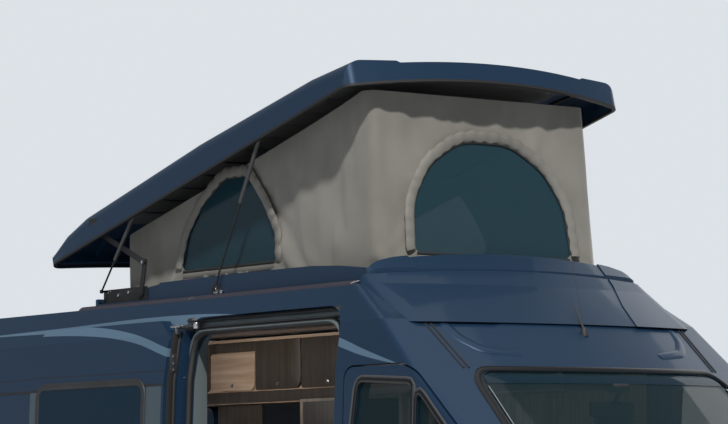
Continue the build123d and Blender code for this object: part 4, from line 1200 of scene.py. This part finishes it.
def buildSeats():
    twice, once = ((0, -0.96, 0), (0, 0, 0)), ((0, 0, 0),)
    across = ((1, 0.36), (1, 0.60))
    cushion = ((1.14, 0.86), (1.62, 0.872), (1.62, 0.94), (1.15, 0.92))
    back = ((1.19, 0.925), (1.095, 0.925), (0.982, 1.56), (1.02, 1.622), (1.06, 1.622), (1.098, 1.56))
    rest = ((1.008, 1.665), (1.066, 1.665), (1.052, 1.82), (0.994, 1.82))
    pad("seatCushion", cushion, 0.262, 0.698, (*across, (0, 1.40)), twice)
    pad("seatBack", back, 0.267, 0.693, (*across, (2, 1.25)), twice)
    pad("headRest", rest, 0.362, 0.598, ((2, 1.70),), twice, bevel=0.02)
    pad("benchCushion", box(0.30, 0.685, 0.875, 0.975), 0.27, 0.90, ((1, 0.585),), once)
    pad("benchBack", box(0.195, 0.265, 1.0, 1.545), 0.27, 0.90, ((1, 0.585),), once, bevel=0.022)
    bm = bmesh.new()
    for side in (-1, 1):
        at = Vector((0, side * 0.48, 0))
        blockAt(bm, at, (1.2, -0.2, 0.56), (1.56, 0.2, 0.845), 0.012)
        blockAt(bm, at, (1.13, -0.235, 0.825), (1.60, 0.235, 0.862), 0.01)
        roundAt(bm, at, (1.145, -0.245, 0.93), (1.145, 0.245, 0.93), 0.035)
        for k in (-0.06, 0.06):
            roundAt(bm, at, (1.035, k, 1.58), (1.03, k, 1.70), 0.006)
        armrest = [at + Vector((x, -side * 0.262, z)) for x, z in ((1.17, 1.12), (1.40, 1.13), (1.52, 1.14))]
        addRail(bm, armrest, 0.055, 0.07, 12)
    addBlock(bm, (0.18, 0.25, 0.56), (0.70, 0.925, 0.872), 0.006)
    addBlock(bm, (0.18, 0.25, 0.86), (0.2, 0.925, 1.56), 0.006)
    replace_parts(piece(bm, "seatFrames", "interiorPlastic"), "seats")


def buildBed():
    low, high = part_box("rear_bed")
    inset, thick, cushions = 0.035, 0.018, 3
    y = min(-low.y, high.y) - inset
    step = (high.x - low.x - 0.01) / cushions
    outline = box(low.x + 0.022, low.x + step - 0.018, low.z + thick + 0.012, high.z - 0.012)
    places = [(step * k, 0, 0) for k in reversed(range(cushions))]
    pad("mattress", outline, -y, y, ((1, 0.0),), places, "mattressCloth", pads["wideVoxel"], 0.025)
    bm = bmesh.new()
    for x, z in ((low.x + 0.004, low.z + thick), (high.x - 0.02, low.z + 0.06)):
        addBlock(bm, (x, -y - 0.02, low.z), (high.x - 0.002, y + 0.02, z), 0.003)
    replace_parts(piece(bm, "bedBoard", "lightWood"), "rear_bed")


buildSeats()
buildBed()
print("seats and bed done")

# ---- Living space ----

living = {
    "lockerFace": 0.56, "lockerDoors": (-2.84, -2.57, -2.11, -1.66, -1.15, -0.58, -0.02, 0.55),
    # the one locker door left in the plain wood colour; the other doors carry painted shade
    "unshadedDoor": 1, "doorLow": 2.035, "doorHigh": 2.25, "wallLow": 1.965, "wallHigh": 2.312, "gap": 0.004,
}


def buildLockers():
    # flap doors under a shallow fascia, as the doorway shows them; all doors but one, the fascia and the shelf take
    # the shaded wood, which is painted shade
    face, gap, light = living["lockerFace"], living["gap"], living["unshadedDoor"]
    doors = list(zip(living["lockerDoors"], living["lockerDoors"][1:]))
    shadedDoors, unshadedDoor, fascia, knobs = bmesh.new(), bmesh.new(), bmesh.new(), bmesh.new()
    for i, (x0, x1) in enumerate(doors):
        target, high = (unshadedDoor, "doorHigh") if i == light else (shadedDoors, "wallHigh")
        corners = box(x0 + gap, x1 - gap, living["doorLow"], living[high])
        outline = rounded(corners, (0.012, 0.06, 0.012, 0.012), 0.012)
        addPlate(target, [(x, face - 0.001, z) for x, z in outline], (0, -0.014, 0), 0.002)
        at = Vector(((x0 + x1) / 2, face, 2.065))
        roundAt(knobs, at, (0, -0.013, 0), (0, -0.02, 0), 0.012, 0.011, 24, 0.001)
    x0, x1 = doors[light]
    over, under = living["doorHigh"] + 0.006, living["doorLow"] - 0.006
    addBlock(fascia, (x0 + gap, face - 0.012, over), (x1 - gap, face, living["wallHigh"]), 0.002)
    addBlock(fascia, (doors[0][0], face - 0.008, living["wallLow"]), (doors[-1][1], face, under), 0.002)
    piece(shadedDoors, "lockerDoors", "shadedWood")
    piece(unshadedDoor, "lockerDoorUnshaded", "lightWood")
    piece(fascia, "lockerFascia", "shadedWood")
    piece(knobs, "lockerKnobs", "brightSteel")
    # wall shelf in the shaded wood: painted shade
    bm = bmesh.new()
    addBlock(bm, (-2.575, 0.60, 1.78), (-2.125, 0.618, 1.962), 0.003)
    addBlock(bm, (-2.575, 0.618, 1.78), (-2.125, 0.86, 1.795), 0.003)
    piece(bm, "wallShelf", "shadedWood")


def buildKitchen():
    low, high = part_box("kitchen_unit")
    wood, steel, dark = bmesh.new(), bmesh.new(), bmesh.new()
    addBlock(dark, (low.x - 0.002, low.y, high.z - 0.03), (high.x + 0.004, high.y + 0.004, high.z + 0.004))
    wide = (high.x - low.x) / 2
    for i in range(2):
        for z0, z1 in ((0.62, 0.95), (0.955, 1.2), (1.205, 1.41)):
            x0 = low.x + 0.006 + i * wide
            x1 = x0 + wide - 0.012
            addBlock(wood, (x0, high.y - 0.002, z0), (x1, high.y + 0.004, z1 - 0.006), 0.0015)
            knob = Vector(((x0 + x1) / 2, high.y, z1 - 0.04))
            roundAt(steel, knob, (0, 0.003, 0), (0, 0.008, 0), 0.014, 0.013, 24, 0.001)
    y = (low.y + high.y) / 2
    basin = ((0.0, 0.003), (0.13, 0.003), (0.155, 0.007), (0.16, 0.004))
    burner = ((0.0, 0.008), (0.045, 0.008), (0.06, 0.006), (0.075, 0.004))
    addLathe(steel, basin, Matrix.Translation((low.x + 0.2, y, high.z)), 40)
    for k in (-0.1, 0.11):
        addLathe(dark, burner, Matrix.Translation((high.x - 0.17, y + k, high.z)), 32)
    piece(wood, "kitchenFronts", "lightWood")
    piece(steel, "kitchenFittings", "brightSteel")
    piece(dark, "kitchenTop", "darkPlastic")


def buildWashroom():
    low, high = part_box("washroom")
    # side panels in the shaded wood: painted shade; the front keeps the plain wood
    bm = bmesh.new()
    for z0, z1 in ((0.6, 1.23), (1.25, 1.94)):
        addBlock(bm, (low.x + 0.03, low.y - 0.004, z0), (high.x - 0.03, low.y + 0.002, z1), 0.002)
    piece(bm, "washroomPanels", "shadedWood")
    bm = bmesh.new()
    addBlock(bm, (high.x - 0.002, low.y + 0.04, 0.6), (high.x + 0.004, low.y + 0.6, 1.94), 0.002)
    piece(bm, "washroomFront", "standingWood")
    bm = bmesh.new()
    at = Vector((high.x - 0.09, low.y, 1.05))
    roundAt(bm, at, (0, 0.001, 0), (0, -0.009, 0), 0.024, 0.022, 32, 0.002)
    addRail(bm, [at + Vector((0, -0.008, 0)), at + Vector((-0.08, -0.0085, 0))], 0.012, 0.006)
    piece(bm, "washroomLatch", "brightSteel")


buildLockers()
buildKitchen()
buildWashroom()
print("living space done")

# ---- Dashboard ----

dash = {
    "vents": (-0.72, -0.12, 0.12, 0.74), "ventHeight": 1.1, "knobs": (-0.07, 0.0, 0.07), "screenHeight": 1.0,
    "wheelCentre": (1.65, 0.43, 1.235), "wheelAxis": (-0.88295, 0, 0.46947),
}


def buildDash():
    bm = bmesh.new()
    for y in dash["vents"]:
        hit = onBody("dashboard", "rear", y, dash["ventHeight"])
        if hit:
            addLathe(bm, ((0.028, -0.002), (0.05, 0.003), (0.054, 0.0), (0.054, -0.004)), facing(*hit), 32)
            for row in (-0.016, 0.0, 0.016):
                addRail(bm, [hit[0] + Vector((0, k, row)) for k in (-0.03, 0.03)], 0.006, 0.004)
    at = onBody("dashboard", "rear", 0.0, dash["screenHeight"])[0]
    blockAt(bm, at, (-0.008, -0.125, -0.08), (0.02, 0.125, 0.075), 0.005)
    for y in dash["knobs"]:
        roundAt(bm, at, (0.01, y, -0.12), (-0.012, y, -0.12), 0.02, 0.018, 28, 0.002)
    piece(bm, "dashFittings", "darkPlastic")
    bm = bmesh.new()
    blockAt(bm, at, (-0.01, -0.11, -0.065), (0.0, 0.11, 0.06), 0.002)
    angles = [math.pi * k / 14 for k in range(15)]
    addRail(bm, [(1.86, 0.43 + 0.17 * math.cos(a), 1.22 + 0.055 * math.sin(a)) for a in angles], 0.03, 0.02)
    piece(bm, "dashScreen", "frit")


def buildSteering():
    axis, centre = Vector(dash["wheelAxis"]), Vector(dash["wheelCentre"])
    hub = ((0.0, 0.032), (0.04, 0.03), (0.06, 0.022), (0.066, 0.008), (0.05, -0.01))
    bm = bmesh.new()
    addLathe(bm, hub, facing(centre, axis), 40)
    for y in (-0.11, 0.11):
        blockAt(bm, centre, (-0.012, y - 0.03, -0.014), (0.01, y + 0.03, 0.014), 0.005)
    piece(bm, "steeringHub", "darkPlastic", "steering_wheel")
    bm = bmesh.new()
    for side in (-1, 1):
        stalk = ((0.1, 0.0, 0.0), (0.09, 0.09, 0.0), (0.075, 0.17, 0.012))
        path = [centre - axis * back + Vector((0, side * y, z)) for back, y, z in stalk]
        addRail(bm, path, 0.018, 0.012, 10)
    piece(bm, "columnStalks", "darkPlastic")


buildDash()
buildSteering()
print("dashboard done")

# ---- Wheels ----

wheel = {
    # outer half of the tyre's section: radius and distance from the middle
    "tyre": (
        (0.2035, 0.098), (0.208, 0.1045), (0.222, 0.101), (0.236, 0.1085), (0.262, 0.1125), (0.3, 0.1135),
        (0.33, 0.1095), (0.346, 0.1025), (0.352, 0.0975), (0.3545, 0.088), (0.3555, 0.062), (0.3475, 0.0595),
        (0.3475, 0.0515), (0.356, 0.049), (0.3565, 0.02), (0.348, 0.0175), (0.348, 0.0095), (0.3568, 0.007),
    ),
    # tread blocks in a row: from, to, share of a block that the row lags, depth under the radius, slant
    "rows": (
        (0.0635, 0.094, 0.0, 0.0018, -0.22), (0.022, 0.048, 0.5, 0.0004, -0.11), (-0.006, 0.006, 0.2, 0.0004, 0.0),
        (-0.048, -0.022, 0.5, 0.0004, 0.11), (-0.094, -0.0635, 0.0, 0.0018, 0.22),
    ),
    "blocks": 64, "blockLength": 0.027, "radius": 0.364, "treadFoot": 0.352,
    "boltCircle": 0.059, "bolts": 5, "firstBolt": 0.3,
    "cap": ((0.0, 0.067), (0.02, 0.066), (0.029, 0.063), (0.0325, 0.058), (0.0335, 0.05)),
}


def buildTyre(name, place):
    half, foot = wheel["tyre"], wheel["treadFoot"]
    bm = bmesh.new()
    addLathe(bm, [*half, *((r, -a) for r, a in reversed(half))], place, 96)
    bmesh.ops.remove_doubles(bm, verts=bm.verts, dist=0.0002)
    for k in range(wheel["blocks"]):
        for a, b, lag, under, slant in wheel["rows"]:
            turn = Matrix.Rotation(math.tau * (k + lag) / wheel["blocks"], 4, "Z")
            top = wheel["radius"] - under
            shape = Matrix.Translation(((top + foot) / 2, 0, (a + b) / 2)) @ Matrix.Rotation(slant, 4, "X")
            size = Matrix.Diagonal((top - foot, wheel["blockLength"], b - a, 1))
            bmesh.ops.create_cube(bm, size=1, matrix=place @ turn @ shape @ size)
    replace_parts(piece(bm, f"tyreTread_{name}", "tyreRubber", f"wheel_{name}", sharp=40), f"tyre_{name}")


def buildWheels():
    for name in ("front_left", "front_right", "rear_left", "rear_right"):
        low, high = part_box(f"tyre_{name}")
        centre = (low + high) / 2
        place = Matrix.Translation(centre) @ Matrix.Rotation(math.radians(90), 4, "X")
        buildTyre(name, place)
        side = 1 if centre.y > 0 else -1
        bm = bmesh.new()
        for k in range(wheel["bolts"]):
            angle = math.tau * k / wheel["bolts"] + wheel["firstBolt"]
            at = centre + Vector((math.cos(angle), 0, math.sin(angle))) * wheel["boltCircle"]
            roundAt(bm, at, (0, side * 0.044, 0), (0, side * 0.064, 0), 0.0115, 0.0105, 6, 0.001)
            roundAt(bm, at, (0, side * 0.044, 0), (0, side * 0.05, 0), 0.0155, 0.0135, 24, 0.001)
        roundAt(bm, centre, (0.165, side * 0.062, 0.06), (0.165, side * 0.092, 0.06), 0.004, 0.003, 12)
        piece(bm, f"wheelBolts_{name}", "brightSteel", f"wheel_{name}")
        bm = bmesh.new()
        addLathe(bm, wheel["cap"], place if side < 0 else place @ Matrix.Rotation(math.pi, 4, "X"), 40)
        piece(bm, f"wheelCap_{name}", "darkPlastic", f"wheel_{name}")


buildWheels()
print("wheels done")

# ---- Front end ----

frontEnd = {
    "grille": ((-0.59, 0.76), (0.59, 0.76), (0.56, 1.03), (-0.56, 1.03)),
    # centre and radius of each reflector
    "reflectors": ((0.80, 0.865, 0.058), (0.93, 0.95, 0.06), (0.985, 1.06, 0.038)),
    "bars": 5, "slots": (0.415, 0.465, 0.515), "fog": (0.76, 0.47), "plate": (0.52, 0.11, 0.60),
}


def buildHeadlamps():
    def build(side, way):
        chrome, dark = bmesh.new(), bmesh.new()
        for y, z, radius in frontEnd["reflectors"]:
            hit = onBody("headlamps", "front", way * y, z)
            if hit:
                place = facing(hit[0] - hit[1] * 0.001, hit[1])
                ring = ((radius, 0.0), (radius, 0.0045), (radius * 0.9, 0.0045), (radius * 0.8, 0.0015))
                bulb = ((0.0, 0.004), (radius * 0.3, 0.0035), (radius * 0.44, 0.002), (radius * 0.5, 0.0))
                addLathe(chrome, ring, place, 40)
                addLathe(dark, bulb, place, 32)
        piece(chrome, f"lampRings_{side}", "chrome")
        piece(dark, f"lampLenses_{side}", "lampGlass")
        strip = straight((way * 0.69, 0.945), (way * 0.915, 1.10), 20)
        trim(f"lampStrip_{side}", "chrome", "headlamps", "front", [strip], 0.012, 0.004, 0.001)
        turn = straight((way * 1.01, 0.90), (way * 1.01, 1.0), 12)
        trim(f"turnLamp_{side}", "amberLens", "headlamps", "front", [turn], 0.02, 0.004, 0.001)
    bothSides(build)


def buildGrille():
    rim = offsetLine(rounded(frontEnd["grille"], (0.06, 0.06, 0.04, 0.04)), 0.004)
    trim("grilleRim", "darkPlastic", "grille front_wings front_bumper", "front", [rim], 0.02, 0.012, closed=True)
    heights = [0.778 + 0.046 * k for k in range(frontEnd["bars"])]
    bars = [straight((-0.54, z), (0.54, z), 40) for z in heights]
    trim("grilleBars", "chrome", "grille", "front", bars, 0.008, 0.005, 0.001)
    bm = bmesh.new()
    for z in frontEnd["slots"]:
        line = straight((-0.47, z + 0.022), (0.47, z + 0.022), 40)
        railOnBody(bm, "front_bumper", "front", line, 0.012, 0.01, 0.001)
    lip = straight((-0.98, 0.375), (0.98, 0.375), 60)
    railOnBody(bm, "front_bumper", "front", lip, 0.03, 0.02, 0.0, 12)
    piece(bm, "bumperTrim", "darkPlastic")
    glass, rim = bmesh.new(), bmesh.new()
    for side in (-1, 1):
        y, z = frontEnd["fog"]
        hit = onBody("front_bumper", "front", side * y, z)
        if hit:
            place = Matrix.Translation(hit[0]) @ Matrix.Rotation(math.radians(90), 4, "Y")
            addLathe(glass, ((0.0, 0.012), (0.03, 0.010), (0.044, 0.004), (0.046, -0.004)), place, 40)
            addLathe(rim, ((0.045, -0.006), (0.0455, 0.01), (0.05, 0.01), (0.0515, -0.006)), place, 40)
    piece(glass, "fogLenses", "lampGlass")
    piece(rim, "fogRims", "darkPlastic")


def plateOn(name, names, side, width, height, z, body="body", y=0.0):
    # a blank plate in its holder, clear of the panel behind it
    spots = [(y + k * width / 2, z + j * height / 2) for k in (-0.9, 0, 0.9) for j in (-0.8, 0.8)]
    hits = [onBody(names, side, *spot) for spot in spots]
    outer = (max if side == "front" else min)(hit[0].x for hit in hits if hit)
    way = 1 if side == "front" else -1
    for suffix, key, grow, low, high in (
        ("Holder", "darkPlastic", 0.008, -0.004, 0.006), ("Plate", "plateWhite", 0.0, 0.004, 0.0085),
    ):
        bm = bmesh.new()
        a, b = sorted((outer + way * low, outer + way * high))
        halfWidth, halfHeight = width / 2 + grow, height / 2 + grow
        addBlock(bm, (a, y - halfWidth, z - halfHeight), (b, y + halfWidth, z + halfHeight), 0.0018)
        piece(bm, name + suffix, key, body)


buildHeadlamps()
buildGrille()
plateOn("front", "front_bumper", "front", *frontEnd["plate"])
print("front end done")

# ---- Rear end ----

rearEnd = {
    "window": ((0.15, 1.33), (0.8, 1.33), (0.77, 1.96), (0.15, 1.96)),
    # piece, material, and the lowest and highest point of each lens
    "lenses": (
        ("stopLamp", "redLens", 1.24, 1.40), ("indicator", "amberLens", 1.11, 1.225),
        ("reverseLamp", "plateWhite", 1.03, 1.10), ("reflector", "redLens", 0.945, 1.02),
    ),
    "lensAt": 0.985, "plate": (0.52, 0.11, 0.98), "plateAt": 0.48, "handle": (0.085, 1.13),
}


def buildRear():
    def build(side, way):
        y = way * rearEnd["lensAt"]
        for name, key, z0, z1 in rearEnd["lenses"]:
            line = straight((y, z0), (y, z1), 10)
            trim(f"{name}_{side}", key, "tail_lamps", "rear", [line], 0.06, 0.006, 0.0005, corners=12)
        door, body = f"rear_door_{side}", f"{side}_rear_door"
        outline = offsetLine(rounded([(way * y, z) for y, z in rearEnd["window"]], 0.06), 0.008)
        names = f"{door} rear_window_{side}"
        trim(f"rearWindowRubber_{side}", "sealRubber", names, "rear", [outline], 0.024, 0.012, closed=True, body=body)
        line = straight((way * 0.05, 0.62), (way * 0.05, 2.3), 50)
        trim(f"rearDoorLine_{side}", "sealRubber", door, "rear", [line], 0.012, 0.003, body=body)
    bothSides(build)
    bm = bmesh.new()
    y, z = rearEnd["handle"]
    bar = straight((0.03 - y, z), (-y - 0.2, z), 20)
    feet = ((-y, z), (-y - 0.17, z))
    pullHandle(bm, "rear_door_right", "rear", Vector((-0.005, 0, 0)), feet, bar, 0.03, 0.013, 0.03, 0.034)
    piece(bm, "rearHandle", "darkPlastic", "right_rear_door")
    bm = bmesh.new()
    for k in (-0.18, 0.18):
        at = onBody("rear_door_left", "rear", rearEnd["plateAt"] + k, 1.065)[0]
        blockAt(bm, at, (-0.02, -0.035, -0.012), (0.004, 0.035, 0.012))
    piece(bm, "plateLamps", "darkPlastic", "left_rear_door")
    plateOn("rear", "rear_door_left", "rear", *rearEnd["plate"], "left_rear_door", rearEnd["plateAt"])
    bm = bmesh.new()
    at = onBody("side_panel_right roof_panel rear_door_right", "rear", 0.0, 2.36)[0]
    blockAt(bm, at, (-0.008, -0.13, -0.014), (0.004, 0.13, 0.014))
    piece(bm, "highStopLamp", "redLens")
    bm = bmesh.new()
    low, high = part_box("rear_bumper")
    for k in range(9):
        at = Vector((low.x, -0.5 + k * 0.11, high.z))
        blockAt(bm, at, (0.03, 0, -0.0015), (0.10, 0.06, 0.0015), 0.001)
    piece(bm, "bumperGrip", "sealRubber")


buildRear()
print("rear end done")

# ---- Sides ----

sides = {
    "middleMoulding": {"left": (-1.55, 0.80, 60), "right": (0.79, 0.83, 6)},
    "markers": {"left": (-2.55, -1.1, 0.79), "right": (-2.55, -1.1, 0.8)}, "markerHeight": 0.62,
    "frontAxle": 2.051, "rearAxle": -1.984, "window": box(-0.2, 0.76, 1.45, 1.99),
    # middle and half size of the covers on the left
    "flaps": ((-1.28, 1.02, 0.08), (-2.62, 1.05, 0.075)),
    "slats": 34, "slatPitch": 0.03,
}


def buildArchLip(name, names, side, way, axle):
    angles = [math.pi * (0.06 + 0.88 * k / 40) for k in range(41)]
    hits = [onBody(names, side, axle + 0.445 * math.cos(a), 0.40 + 0.44 * math.sin(a)) for a in angles]
    path = [hit[0] + Vector((0, way * 0.002, 0)) for hit in hits if hit]
    bm = bmesh.new()
    addRail(bm, path, 0.028, 0.012, 10, [Vector((0, way, 0))] * len(path))
    piece(bm, name, "darkPlastic")


def buildSides():
    panel = "side_panel_{side}"
    rear = mouldingLine(-2.86, -2.42, 16)
    sideTrim("rearMoulding", "darkPlastic", "body", panel, [rear], *moulding["size"], corners=12)
    sideTrim("sillLine", "sealRubber", "body", panel, [straight((-1.5, 0.47), (-0.6, 0.47), 30)], 0.03, 0.012)

    def build(side, way):
        names = f"side_panel_{side}"
        middle = mouldingLine(*sides["middleMoulding"][side])
        trim(f"middleMoulding_{side}", "darkPlastic", names, side, [middle], *moulding["size"], corners=12)
        bm = bmesh.new()
        for x in sides["markers"][side]:
            hit = onBody(names, side, x, sides["markerHeight"])
            if hit:
                blockAt(bm, hit[0], (-0.03, -0.009, -0.012), (0.03, 0.009, 0.012))
        piece(bm, f"sideMarkers_{side}", "amberLens")
        buildArchLip(f"archLip_front_{side}", "front_wings", side, way, sides["frontAxle"])
        buildArchLip(f"archLip_rear_{side}", f"{names} cab_door_{side}", side, way, sides["rearAxle"])
    bothSides(build)
    # filler flap and hook-up cover
    flaps = [rounded(box(x - half, x + half, z - half, z + half), 0.02) for x, z, half in sides["flaps"]]
    trim("fillerFlaps", "sealRubber", "side_panel_left", "left", flaps, 0.005, 0.003, closed=True)
    pane = "side_window_left"
    windowFrame("leftWindowFrame", f"side_panel_left {pane}", pane, "left", rounded(sides["window"], 0.06))
    bm = bmesh.new()
    for k in range(sides["slats"]):
        x = -0.22 + sides["slatPitch"] * k
        addBlock(bm, (x, 0.897, 1.42), (x + 0.0285, 0.903 + 0.002 * (k % 2), 2.03), 0.0015, 1)
    addBlock(bm, (-0.235, 0.892, 2.03), (0.81, 0.908, 2.055), 0.003)
    piece(bm, "leftWindowBlind", "standingWood")


buildSides()
print("sides done")

# ---- Pop-up roof inside ----

shellInside = {
    "seals": (-0.72, 0.72), "from": 0.30, "to": 3.3, "boards": 15, "firstBoard": 0.42, "pitch": 0.19,
    "castFrom": 2.42, "lowest": 2.45, "slope": (-0.24, 0, 0.97),
}


def underShell(bm, spots, drop, width, height, corners):
    # a rail along the spots under the shell, a little below its underside
    path = []
    for x, y in spots:
        start = Vector((x, y, shellInside["castFrom"]))
        place = treeOf("roof_shell").ray_cast(start, Vector((0, 0, 1)))[0]
        if place and place.z > shellInside["lowest"]:
            path.append(place - Vector((0, 0, drop)))
    if len(path) > 3:
        addRail(bm, path, width, height, corners, [Vector(shellInside["slope"])] * len(path))


def buildShellInside():
    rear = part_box("roof_shell")[0].x
    bm = bmesh.new()
    for y in shellInside["seals"]:
        spots = straight((rear + shellInside["from"], y), (rear + shellInside["to"], y), 50)
        underShell(bm, spots, 0.006, 0.024, 0.016, 10)
    piece(bm, "shellSeal", "sealRubber", "pop_up_roof")
    # padded boards across the underside
    bm = bmesh.new()
    for k in range(shellInside["boards"]):
        x = rear + shellInside["firstBoard"] + shellInside["pitch"] * k
        underShell(bm, straight((x, -0.6), (x, 0.6), 13), 0.004, 0.178, 0.012, 12)
    piece(bm, "shellLiner", "liner", "pop_up_roof")


buildShellInside()
print("shell inside done")

# ---- Stage and finish ----


def buildStage():
    bm = bmesh.new()
    bmesh.ops.create_grid(bm, x_segments=1, y_segments=1, size=60)
    mesh = meshOf(bm, "studioFloor")
    mesh.materials.append(plainMaterial("floorColour", studio["floorColour"], 0.8))
    linked(mesh)


buildCamera()
buildLights()
buildSky()
buildStage()
print("scene ready")
